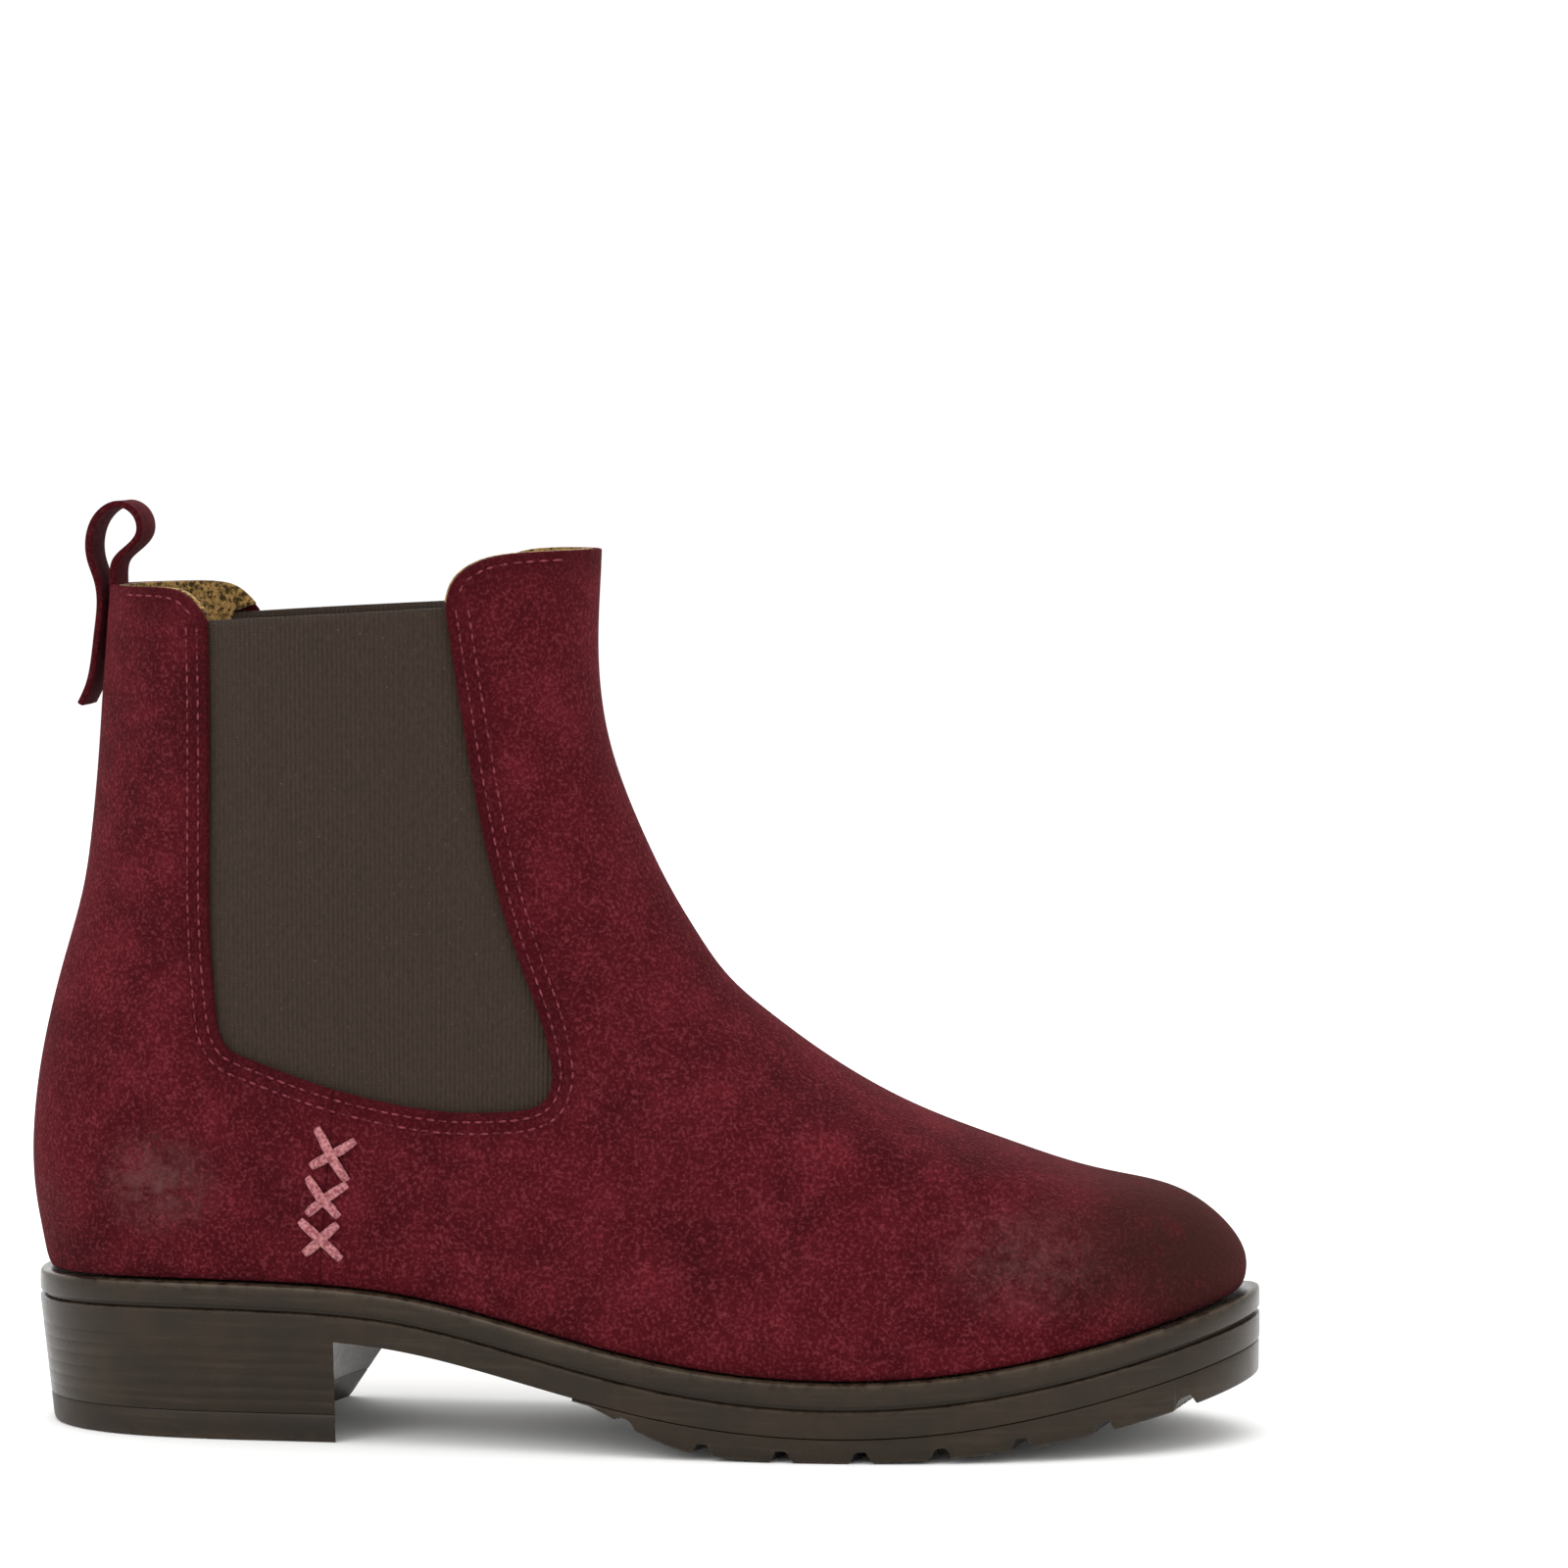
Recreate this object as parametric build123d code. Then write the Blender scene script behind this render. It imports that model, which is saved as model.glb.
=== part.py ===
from build123d import *
import os

import numpy as np

# A right ankle boot with elastic side gores.
# Frame: +X to the toe, +Y to the inner (medial) side, +Z up, millimetres.
# It is modelled with x = 0 at the back of the outsole and z = 0 on the floor, and the
# finished pieces are moved so that the origin is under the middle of the whole boot.

# ---------------------------------------------------------------- overall sizes
OUTSOLE_LENGTH = 277.0        # heel back to toe tip
UPPER_WIDTH_GRADE = 1.0       # width fitting of the last, 1 is the standard fitting
SHAFT_HEIGHT = 191.2          # collar at the centre back, above the floor
HEEL_SEAT_HEIGHT = 34.5       # top of the sole at the heel, above the floor

# ---------------------------------------------------------------- upper
SUEDE_THICKNESS = 1.8
GLUE_LINE = 0.2               # between any two layers that are glued together
STIFFENER_THICKNESS = 0.8
LINING_THICKNESS = 1.6
GORE_THICKNESS = 1.2
GORE_ALLOWANCE = 7.0          # how far the elastic is tucked under the suede
STRIP_CLEARANCE = 0.4         # between the moving front strip and its neighbours
LASTING_MARGIN = 14.0         # how far the upper turns in under the insole board

# ---------------------------------------------------------------- pull loop and stitching
LOOP_WIDTH = 15.0
LOOP_THICKNESS = 1.8
LOOP_TAIL_LENGTH = 25.0
LOOP_CLEARANCE = 0.4          # from the fixed collar and tail to the folding loop
LOOP_ROOT_RADIUS = 2.75       # the loop's two legs turn inside this radius at the collar
STITCH_WIDTH = 2.1
STITCH_RAISE = 1.0
STITCH_HEIGHT = 10.5          # one cross, along the seam
STITCH_SPREAD = 7.0           # one cross, across the seam
STITCH_COUNT = 3

# ---------------------------------------------------------------- bottom
SOLE_OVERHANG = 2.0           # sole edge beyond the upper
MIDSOLE_THICKNESS = 5.0
GROOVE_HEIGHT = 2.0
GROOVE_DEPTH = 1.6
OUTSOLE_THICKNESS = 5.0       # below the groove
TREAD_NOTCH_DEPTH = 3.0
TREAD_NOTCH_WIDTH = 4.0
TREAD_NOTCH_PITCH = 17.5
TREAD_NOTCH_LENGTH = 20.0
HEEL_LENGTH = 73.0            # heel back to the corners of the breast
HEEL_BREAST_HOLLOW = 8.0
HEEL_TAPER = 3.0              # how much the heel draws in from its seat to the floor
HEEL_LIFT_THICKNESS = 6.5
INSOLE_THICKNESS = 2.2
FOOTBED_THICKNESS = 2.8
SOCK_THICKNESS = 1.2
SHANK_WIDTH = 14.0
SHANK_THICKNESS = 1.2
SHANK_LENGTH = 100.0
NAIL_DIAMETER = 2.2
NAIL_HEAD_DIAMETER = 4.6
NAIL_LENGTH = 24.0
NAIL_FIT = 0.05

# ---------------------------------------------------------------- the last
# Sections of the outer surface of the upper, from the feather edge to the collar.
# Each has its height share, its back and front points (x, z), and its half widths at five
# stations from back to front: lateral first, then medial.
NOMINAL_LENGTH = 277.0        # the size the sections below are drawn for
NOMINAL_SHAFT = 191.2
NOMINAL_SEAT = 34.5
LAST_SECTIONS = [
    (0.00, (0.8, 34), (273.0, 27), (60, 38, 42, 51, 60), (60, 36, 29, 47, 60)),
    (0.16, (-2.6, 60), (270.5, 46), (60, 39, 38, 44, 50), (60, 37, 29, 42, 50)),
    (0.32, (0.6, 90), (232.0, 61.5), (52, 38, 35, 39, 48), (52, 37, 31, 34, 48)),
    (0.48, (7.0, 113), (176.0, 87.5), (43, 37, 34, 34, 36), (43, 36, 33, 32, 36)),
    (0.66, (11.0, 133), (139.5, 132), (36, 35, 34, 34, 34), (36, 34, 34, 34, 34)),
    (1.00, (15.9, 189), (128.5, 194), (34, 35, 34.5, 34, 33), (34, 35, 34.5, 34, 33)),
]
RING_POINTS = 24              # a multiple of four
RING_COUNT = 10
TOE_SWING = 5.0               # toe tip towards the medial side
SOLE_DEPTH_BELOW = 45.0       # the loft runs this far below the seat, to be trimmed
SHAFT_RUN_OUT = 12.0          # and this far above the collar

# Top surface of the sole along the boot (x, z): heel seat, waist, ball, toe spring.
FEATHER_LINE = [(-12, 34.2), (20, 35.6), (60, 35.6), (88, 33.6), (120, 26.8), (152, 20.2),
                (183, 17.6), (215, 19.4), (248, 25.8), (290, 37.5)]
# Underside of the forefoot along the boot, measured from the floor.
TREAD_LINE = [(118, 13.5), (137, 5.6), (160, 0.9), (185, 0.0), (212, 1.1), (240, 5.0), (268, 11.5),
              (292, 18.5)]

# Side view of the gore opening (x, z), and of the collar.
GORE_BACK = [(44.0, 184.0), (44.3, 147.0), (45.0, 104.0), (46.2, 93.0)]
GORE_CORNER_BACK = [(46.2, 93.0), (48.5, 88.6), (53.5, 86.2)]
GORE_BOTTOM = [(53.5, 86.2), (71.0, 80.2), (86.5, 76.6), (102.0, 75.0), (114.5, 75.6)]
GORE_CORNER_FRONT = [(114.5, 75.6), (121.0, 78.2), (122.6, 84.0)]
GORE_FRONT = [(122.6, 84.0), (121.2, 90.5), (115.3, 107.0), (109.0, 126.6), (104.4, 148.0),
              (98.4, 187.0)]
SEAM_TOP = (73.5, 79.45)
SEAM_BOTTOM = (69.5, 34.0)
QUARTER_TOP = [(30.0, 191.2), (38.0, 190.0), (44.0, 184.0)]
STRIP_TOP = [(98.4, 187.0), (100.2, 193.0), (105.5, 197.2), (114.0, 199.0), (124.0, 199.4)]
STRIP_HINGE = (137.0, 143.0)  # crease where the front strip folds forward
STRIP_HEM = (100.0, 143.0)    # where its lower edge meets the gore, on the same level


def spline_table(keys, values):
    """Return a function that reads a smooth (natural cubic) curve through the values."""
    keys = np.asarray(keys, float)
    values = np.asarray(values, float)
    count = len(keys)
    step = np.diff(keys)
    matrix = np.eye(count)
    right = np.zeros(values.shape)
    for i in range(1, count - 1):
        matrix[i, i - 1:i + 2] = step[i - 1], 2 * (step[i - 1] + step[i]), step[i]
        rise = (values[i + 1] - values[i]) / step[i]
        fall = (values[i] - values[i - 1]) / step[i - 1]
        right[i] = 6 * (rise - fall)
    bend = np.linalg.solve(matrix, right.reshape(count, -1)).reshape(values.shape)

    def read(key):
        i = int(np.clip(np.searchsorted(keys, key) - 1, 0, count - 2))
        ahead = keys[i + 1] - key
        behind = key - keys[i]
        cubic = (bend[i] * ahead ** 3 + bend[i + 1] * behind ** 3) / (6 * step[i])
        start = (values[i] / step[i] - bend[i] * step[i] / 6) * ahead
        end = (values[i + 1] / step[i] - bend[i + 1] * step[i] / 6) * behind
        return cubic + start + end

    return read


def grade(point):
    """Move a side-view point of the nominal last to this boot's length and heights."""
    x, z = point
    seat_rise = HEEL_SEAT_HEIGHT - NOMINAL_SEAT
    stretch = (SHAFT_HEIGHT - HEEL_SEAT_HEIGHT) / (NOMINAL_SHAFT - NOMINAL_SEAT)
    above = max(0.0, z - NOMINAL_SEAT)
    low = min(z, NOMINAL_SEAT)
    heel_share = float(np.clip((150.0 - x) / 75.0, 0, 1)) if z < NOMINAL_SEAT + 1 else 1.0
    return x * OUTSOLE_LENGTH / NOMINAL_LENGTH, low + seat_rise * heel_share + above * stretch


def graded(points):
    return [grade(point) for point in points]


SECTION_KEYS = [section[0] for section in LAST_SECTIONS]
BACK_CURVE = spline_table(SECTION_KEYS, graded([section[1] for section in LAST_SECTIONS]))
FRONT_CURVE = spline_table(SECTION_KEYS, graded([section[2] for section in LAST_SECTIONS]))
LATERAL_CURVE = spline_table(SECTION_KEYS, [section[3] for section in LAST_SECTIONS])
MEDIAL_CURVE = spline_table(SECTION_KEYS, [section[4] for section in LAST_SECTIONS])
STATIONS = np.linspace(0, 1, 5)


def last_ring(share):
    """Points of one closed section of the upper's outer surface, lateral side first."""
    back = BACK_CURVE(share)
    front = FRONT_CURVE(share)
    lateral = spline_table(STATIONS, LATERAL_CURVE(share))
    medial = spline_table(STATIONS, MEDIAL_CURVE(share))
    points = []
    for k in range(RING_POINTS):
        angle = 2 * np.pi * k / RING_POINTS
        along = (1 - np.cos(angle)) / 2
        half_width = (lateral(along) if angle < np.pi else medial(along)) * UPPER_WIDTH_GRADE
        swing = TOE_SWING * max(0.0, 1 - 2 * share) * along ** 3
        x, z = back + (front - back) * along
        points.append((x, swing - np.sin(angle) * half_width, z))
    return np.array(points)


def last_grid():
    """Rings of the outer surface, with straight run-outs below the seat and above the collar."""
    rings = [last_ring(share) for share in np.linspace(0, 1, RING_COUNT)]
    floor = rings[0].copy()
    floor[:, 2] = HEEL_SEAT_HEIGHT - SOLE_DEPTH_BELOW
    middle = rings[0].copy()
    middle[:, 2] = (rings[0][:, 2] + floor[:, 2]) / 2
    step = np.linalg.norm(rings[-1][0] - rings[-2][0])
    top = rings[-1] + (rings[-1] - rings[-2]) * SHAFT_RUN_OUT / step
    return np.array([floor, middle] + rings + [top])


def last_normals(grid):
    """Outward unit normals of the grid, kept level at the two flat ends."""
    around = np.roll(grid, -1, axis=1) - np.roll(grid, 1, axis=1)
    upward = np.gradient(grid, axis=0)
    normals = np.cross(around, upward)
    normals /= np.linalg.norm(normals, axis=2, keepdims=True)
    quarter_turn = RING_POINTS // 4
    end = np.cross(grid[-1, quarter_turn] - grid[-1, 0], grid[-1, -quarter_turn] - grid[-1, 0])
    end /= np.linalg.norm(end)
    for row, axis in ((0, np.array([0, 0, 1.0])), (1, np.array([0, 0, 1.0])), (-1, end)):
        normals[row] -= (normals[row] @ axis)[:, None] * axis
        normals[row] /= np.linalg.norm(normals[row], axis=1, keepdims=True)
    middle = grid.mean(axis=1, keepdims=True)
    return normals * np.sign(((grid - middle) * normals).sum(axis=2).mean())


LAST_GRID = last_grid()
LAST_NORMALS = last_normals(LAST_GRID)


def closed_curve(points):
    parameters = [float(value) for value in np.linspace(0, 1, len(points) + 1)]
    edge = Edge.make_spline([tuple(map(float, p)) for p in points], periodic=True, parameters=parameters)
    return Wire([edge])


def last_solid(growth):
    """The whole foot-and-ankle form, grown outwards (or shrunk, where negative)."""
    grid = LAST_GRID + LAST_NORMALS * growth
    return Solid.make_loft([closed_curve(ring) for ring in grid])


# ---------------------------------------------------------------- cutting tools
FAR = 400.0


def side_prism(edges, low_y=-FAR, high_y=FAR):
    """Closed side-view outline (x, z), run across the boot from low_y to high_y."""
    face = Face(Wire(edges))
    solid = extrude(face, amount=high_y - low_y, dir=(0, 1, 0))
    return solid.moved(Location((0, low_y, 0)))


def side_edges(*runs):
    """Edges through runs of side-view points: two points are a line, more are a spline."""
    edges = []
    for run in runs:
        points = [(x, 0, z) for x, z in run]
        if len(points) == 2:
            edges.append(Edge.make_line(*points))
        else:
            edges.append(Edge.make_spline(points))
    return edges


def polyline_runs(points):
    return [[points[i], points[i + 1]] for i in range(len(points) - 1)]


def feather(offset):
    return [(x, z + offset) for x, z in graded(FEATHER_LINE)]


def above_feather(offset, top=FAR):
    """Everything over the feather surface, shifted by the offset."""
    line = feather(offset)
    start, end = line[0], line[-1]
    box = polyline_runs([end, (end[0], top), (start[0], top), start])
    return side_prism(side_edges(line, *box))


def feather_slab(low, high):
    """A layer that follows the feather surface, between two offsets from it."""
    bottom = feather(low)
    top = feather(high)[::-1]
    return side_prism(side_edges(bottom, [bottom[-1], top[0]], top, [top[-1], bottom[0]]))


def plan_outline(growth, height):
    """Feather edge in plan, grown outwards, as a closed curve at one height."""
    ring = LAST_GRID[0].copy() + LAST_NORMALS[0] * growth
    ring[:, 2] = height
    return closed_curve(ring)


def plan_prism(growth_low, growth_high=None, low=-20.0, high=80.0):
    """The sole's outline in plan as an upright prism, drawn in where the growths differ."""
    growth_high = growth_low if growth_high is None else growth_high
    return Solid.make_loft([plan_outline(growth_low, low), plan_outline(growth_high, high)])


def half_space(side):
    """A block on the lateral (-1) or the medial (+1) side of the centre plane."""
    return Box(2 * FAR, FAR, 2 * FAR).moved(Location((0, side * FAR / 2, 0)))


# ---------------------------------------------------------------- side-view regions of the upper
def gore_outline():
    return [graded(run) for run in
            (GORE_BACK, GORE_CORNER_BACK, GORE_BOTTOM, GORE_CORNER_FRONT, GORE_FRONT)]


def tucked_outline(allowance):
    """Points of the gore outline moved outwards by the allowance, open at the top."""
    wire = Wire(side_edges(*gore_outline()))
    points = []
    for share in np.linspace(0, 1, 19):
        place = wire.position_at(float(share))
        along = wire.tangent_at(float(share))
        points.append((place.X + along.Z * allowance, place.Z - along.X * allowance))
    return points


def gore_region(allowance):
    """The elastic panel with its tucked edges, cut straight along its top."""
    outline = tucked_outline(allowance)
    if outline[0][0] > gore_outline()[0][0][0]:
        outline = tucked_outline(-allowance)
    back_top = gore_outline()[0][0]
    front_top = gore_outline()[-1][-1]
    slope = (front_top[1] - back_top[1]) / (front_top[0] - back_top[0])
    first = (outline[0][0], back_top[1] + (outline[0][0] - back_top[0]) * slope)
    last = (outline[-1][0], back_top[1] + (outline[-1][0] - back_top[0]) * slope)
    outline = [first] + outline[1:-1] + [last]
    return Face(Wire(side_edges(outline, [last, first])))


def across(face, low_y=-FAR, high_y=FAR):
    return extrude(face, amount=high_y - low_y, dir=(0, 1, 0)).moved(Location((0, low_y, 0)))


def gore_and_above():
    """The gore opening carried on upwards, which parts the quarters from the front strip."""
    runs = gore_outline()
    quarter_top = graded(QUARTER_TOP)
    strip_top = graded(STRIP_TOP)
    lid = [strip_top[-1], (strip_top[-1][0] + FAR / 2, strip_top[-1][1]), (FAR / 2, FAR),
           (-FAR / 2, FAR), (-FAR / 2, quarter_top[0][1]), quarter_top[0]]
    return side_prism(side_edges(*runs, strip_top, *polyline_runs(lid), quarter_top))


def behind_seam():
    """Everything behind the side seam, which runs from the gore down to the sole."""
    top = grade(SEAM_TOP)
    bottom = grade(SEAM_BOTTOM)
    corner = [(bottom[0], -FAR), (-FAR, -FAR), (-FAR, FAR), (top[0], FAR)]
    return side_prism(side_edges(*polyline_runs([top, bottom] + corner + [top])))


def strip_block(clearance):
    """Room of the front strip: over its hem and in front of the gore, less a clearance."""
    hinge = grade(STRIP_HINGE)
    hem = grade(STRIP_HEM)
    low = hinge[1] + clearance
    front = graded(GORE_FRONT)
    parting = [(x + clearance, z) for x, z in front]
    hem_back = (hem[0] - 12, low)
    block = side_prism(side_edges(*polyline_runs(
        [hem_back, (FAR, low), (FAR, FAR), (hem_back[0], FAR), hem_back])))
    behind = side_prism(side_edges(parting, *polyline_runs(
        [parting[-1], (parting[-1][0], FAR), (-FAR, FAR), (-FAR, parting[0][1]), parting[0]])))
    return block - behind


# ---------------------------------------------------------------- depths of the layers
SUEDE_INSIDE = -SUEDE_THICKNESS
STIFFENER_OUTSIDE = SUEDE_INSIDE - GLUE_LINE
STIFFENER_INSIDE = STIFFENER_OUTSIDE - STIFFENER_THICKNESS
LINING_OUTSIDE = STIFFENER_OUTSIDE
LINING_INSIDE = LINING_OUTSIDE - LINING_THICKNESS
GORE_OUTSIDE = SUEDE_INSIDE - GLUE_LINE
GORE_INSIDE = GORE_OUTSIDE - GORE_THICKNESS

# heights over the feather surface
LINING_MARGIN_LOW = SUEDE_THICKNESS + GLUE_LINE
LINING_MARGIN_HIGH = LINING_MARGIN_LOW + 1.0
INSOLE_LOW = LINING_MARGIN_HIGH + GLUE_LINE
INSOLE_HIGH = INSOLE_LOW + INSOLE_THICKNESS
FOOTBED_LOW = INSOLE_HIGH + GLUE_LINE
FOOTBED_HIGH = FOOTBED_LOW + FOOTBED_THICKNESS
SOCK_LOW = FOOTBED_HIGH + GLUE_LINE
SOCK_HIGH = SOCK_LOW + SOCK_THICKNESS


class Boot:
    """Builds each piece once and keeps the shared cutting tools."""

    def __init__(self):
        self.lasts = {}
        self.window = plan_prism(-LASTING_MARGIN)
        self.seam_back = behind_seam()
        self.gore_cut = gore_and_above()
        self.strip_room = strip_block(0.0)
        self.strip_tool = strip_block(STRIP_CLEARANCE)

    def last(self, growth):
        key = round(growth, 3)
        if key not in self.lasts:
            self.lasts[key] = last_solid(growth)
        return self.lasts[key]

    def shell(self, block, outside, inside, low, high):
        """A ply of the upper: a form with a smaller one taken out, and an open bottom."""
        outer = self.last(outside) & above_feather(low) & block
        inner = self.last(inside) & above_feather(high)
        window = self.window & feather_slab(low - 5, high + 5)
        return outer - inner - window


def one_solid(shape):
    """The largest solid of a cut, without slivers that fall off at its edges."""
    return max(shape.solids(), key=lambda solid: solid.volume)


def main_solids(shape, least):
    """All solids of a cut that are larger than the least volume."""
    return Compound([solid for solid in shape.solids() if solid.volume > least])


# ---------------------------------------------------------------- upper pieces
def vamp(boot):
    block = Box(2 * FAR, 2 * FAR, 2 * FAR) - boot.gore_cut - boot.seam_back - boot.strip_room
    return one_solid(boot.shell(block, 0.0, SUEDE_INSIDE, 0.0, SUEDE_THICKNESS))


def shaft_front(boot):
    block = boot.strip_tool - boot.gore_cut
    outer = boot.last(0.0) & block
    return one_solid(outer - boot.last(SUEDE_INSIDE))


def quarter(boot, side):
    block = (boot.seam_back & half_space(side)) - boot.gore_cut
    return one_solid(boot.shell(block, 0.0, SUEDE_INSIDE, 0.0, SUEDE_THICKNESS))


def gore(boot, side):
    block = across(gore_region(GORE_ALLOWANCE)) & half_space(side)
    outer = boot.last(GORE_OUTSIDE) & block
    return one_solid(outer - boot.last(GORE_INSIDE))


def counter_block():
    """Reach of the heel counter: round the heel, dropping forward to the waist."""
    line = graded([(-FAR / 4, 84), (20, 84), (42, 72), (60, 50), (66, 30)])
    return side_prism(side_edges(line, *polyline_runs(
        [line[-1], (line[-1][0], -FAR), (line[0][0], -FAR), line[0]])))


def toe_block(back=222.0):
    """Reach of the toe puff, in front of a slanting line over the toes."""
    low = grade((back - 8, 0))
    high = grade((back + 14, 90))
    return side_prism(side_edges(*polyline_runs([low, (FAR, 0), (FAR, high[1]), high, low])))


def stiffener(boot, block):
    ply = boot.shell(block, STIFFENER_OUTSIDE, STIFFENER_INSIDE, LINING_MARGIN_LOW, LINING_MARGIN_HIGH)
    return one_solid(ply & above_feather(INSOLE_HIGH))


def lining(boot, block, pocket=None):
    """A lining ply, thinned by a pocket where a stiffener sits behind it."""
    ply = boot.shell(block, LINING_OUTSIDE, LINING_INSIDE, LINING_MARGIN_LOW, LINING_MARGIN_HIGH)
    if pocket is not None:
        room = pocket & above_feather(INSOLE_HIGH - GLUE_LINE)
        ply = ply - (room - boot.last(STIFFENER_INSIDE - GLUE_LINE))
    return one_solid(ply)


def lining_block(boot):
    gore_tuck = across(gore_region(GORE_ALLOWANCE + GLUE_LINE))
    return Box(2 * FAR, 2 * FAR, 2 * FAR) - gore_tuck - boot.gore_cut


# ---------------------------------------------------------------- trims
def pull_loop():
    """The folding part of the webbing loop; its two legs meet in a rounded root at the collar."""
    base = grade((0, NOMINAL_SHAFT))[1] + LOOP_CLEARANCE
    back_x = BACK_CURVE(1.0)[0]
    path = [(-3.2, -1.0), (-4.9, 5.0), (-4.4, 10.5), (-1.2, 16.2), (3.6, 18.0), (7.9, 15.7),
            (8.9, 11.2), (5.6, 7.2), (1.4, 4.4), (0.2, -1.0)]
    line = Edge.make_spline([(back_x + x, 0, base + z) for x, z in path])
    plane = Plane(origin=line.position_at(0), x_dir=(0, 1, 0), z_dir=line.tangent_at(0))
    section = plane * Rectangle(LOOP_WIDTH, LOOP_THICKNESS)
    strap = sweep(section, path=Wire([line]))
    root = Vector(back_x + (path[0][0] + path[-1][0]) / 2, 0, base + LOOP_ROOT_RADIUS)
    room = Box(FAR, FAR, FAR).moved(Location((0, 0, root.Z + FAR / 2)))
    turn = Cylinder(LOOP_ROOT_RADIUS, FAR).rotate(Axis.X, 90).moved(Location(root))
    return one_solid(strap & (room + turn))


def pull_loop_tail(boot):
    top = grade((0, NOMINAL_SHAFT))[1]
    low = top - LOOP_TAIL_LENGTH
    block = Box(40, LOOP_WIDTH, LOOP_TAIL_LENGTH).moved(Location((0, 0, (low + top) / 2)))
    outer = boot.last(GLUE_LINE / 2 + LOOP_THICKNESS) & block
    return one_solid(outer - boot.last(GLUE_LINE / 2))


def cross_stitch(boot, side):
    """Three raised crosses of flat cord, set along the side seam."""
    seam = Vector(*SEAM_BOTTOM) - Vector(*SEAM_TOP)
    direction = seam.normalized()
    tilt = np.degrees(np.arctan2(STITCH_SPREAD, STITCH_HEIGHT))
    lean = np.degrees(np.arctan2(-direction.X, -direction.Y))
    length = float(np.hypot(STITCH_SPREAD, STITCH_HEIGHT))
    bars = []
    for k in range(STITCH_COUNT):
        down = 14.0 + k * (STITCH_HEIGHT - 0.8)
        x, z = grade((SEAM_TOP[0] + direction.X * down, SEAM_TOP[1] + direction.Y * down))
        for sign in (-1, 1):
            bar = Box(STITCH_WIDTH, FAR, length)
            bar = bar.rotate(Axis.Y, lean + sign * tilt)
            bars.append(bar.moved(Location((x, side * FAR / 2, z))))
    raised = boot.last(GLUE_LINE / 2 + STITCH_RAISE) - boot.last(GLUE_LINE / 2).moved(Location((0, 0, 0)))
    tool = bars[0]
    for bar in bars[1:]:
        tool = tool + bar
    return main_solids(raised & tool, 1.0)


# ---------------------------------------------------------------- bottom pieces
def nail_places():
    """Centres of the heel nails in plan: a horseshoe inside the heel seat."""
    seat = grade((HEEL_LENGTH / 2, 0))[0]
    places = []
    for angle in (60, 120, 180, 240, 300):
        x = seat + 20 * np.cos(np.radians(angle))
        places.append((x, 15 * np.sin(np.radians(angle))))
    return places


def seat_height(x):
    line = np.array(graded(FEATHER_LINE))
    return float(np.interp(x, line[:, 0], line[:, 1]))


def heel_nails(fit=0.0):
    """Flat-headed nails from the insole board down into the heel block."""
    nails = []
    for x, y in nail_places():
        head_top = seat_height(x) + INSOLE_HIGH - 0.4
        shaft = Cylinder(NAIL_DIAMETER / 2 + fit, NAIL_LENGTH + fit)
        head = Cylinder(NAIL_HEAD_DIAMETER / 2 + fit, 1.0 + fit)
        shaft = shaft.moved(Location((x, y, head_top - NAIL_LENGTH / 2 + fit / 2)))
        head_rise = 3.0 if fit else 0.0
        head = head.moved(Location((x, y, head_top - 0.5)))
        nail = shaft + head
        if head_rise:
            nail = nail + Cylinder(NAIL_HEAD_DIAMETER / 2 + fit, head_rise).moved(
                Location((x, y, head_top + head_rise / 2)))
        nails.append(nail)
    return nails


def less_nails(shape):
    for nail in heel_nails(NAIL_FIT):
        shape = shape - nail
    return one_solid(shape)


def midsole():
    return less_nails(plan_prism(SOLE_OVERHANG) & feather_slab(-MIDSOLE_THICKNESS, 0.0))


OUTSOLE_TOP = -MIDSOLE_THICKNESS
GROOVE_FLOOR = OUTSOLE_TOP - GROOVE_HEIGHT
OUTSOLE_BOTTOM = GROOVE_FLOOR - OUTSOLE_THICKNESS


def tread_prism(lift=0.0):
    """Everything under the walking surface of the forefoot."""
    line = [(x * OUTSOLE_LENGTH / NOMINAL_LENGTH, z + lift) for x, z in TREAD_LINE]
    return side_prism(side_edges(line, *polyline_runs(
        [line[-1], (line[-1][0], -FAR), (line[0][0], -FAR), line[0]])))


def outsole():
    neck = plan_prism(SOLE_OVERHANG - GROOVE_DEPTH) & feather_slab(GROOVE_FLOOR - 1, OUTSOLE_TOP)
    plate = plan_prism(SOLE_OVERHANG) & feather_slab(OUTSOLE_BOTTOM, GROOVE_FLOOR)
    return less_nails(neck + plate - tread_prism())


def forefoot_tread():
    """Lugged layer under the ball and toe, which thins out towards the waist."""
    body = plan_prism(SOLE_OVERHANG) & feather_slab(OUTSOLE_BOTTOM - 30, OUTSOLE_BOTTOM)
    front = Box(FAR, FAR, FAR).moved(Location((grade((128, 0))[0] + FAR / 2, 0, 0)))
    body = (body & front) - tread_prism()
    first = grade((140, 0))[0]
    last = grade((266, 0))[0]
    count = int((last - first) / TREAD_NOTCH_PITCH) + 1
    line = np.array(TREAD_LINE) * [OUTSOLE_LENGTH / NOMINAL_LENGTH, 1]
    for k in range(count):
        x = first + k * TREAD_NOTCH_PITCH
        z = float(np.interp(x, line[:, 0], line[:, 1]))
        for side in (-1, 1):
            notch = Box(TREAD_NOTCH_WIDTH, TREAD_NOTCH_LENGTH * 2, 2 * TREAD_NOTCH_DEPTH)
            notch = notch.rotate(Axis.Z, side * 14)
            body = body - notch.moved(Location((x, side * 44, z)))
    over_floor = Box(2 * FAR, FAR, FAR).moved(Location((0, 0, FAR / 2)))
    return one_solid(body & over_floor)


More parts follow.
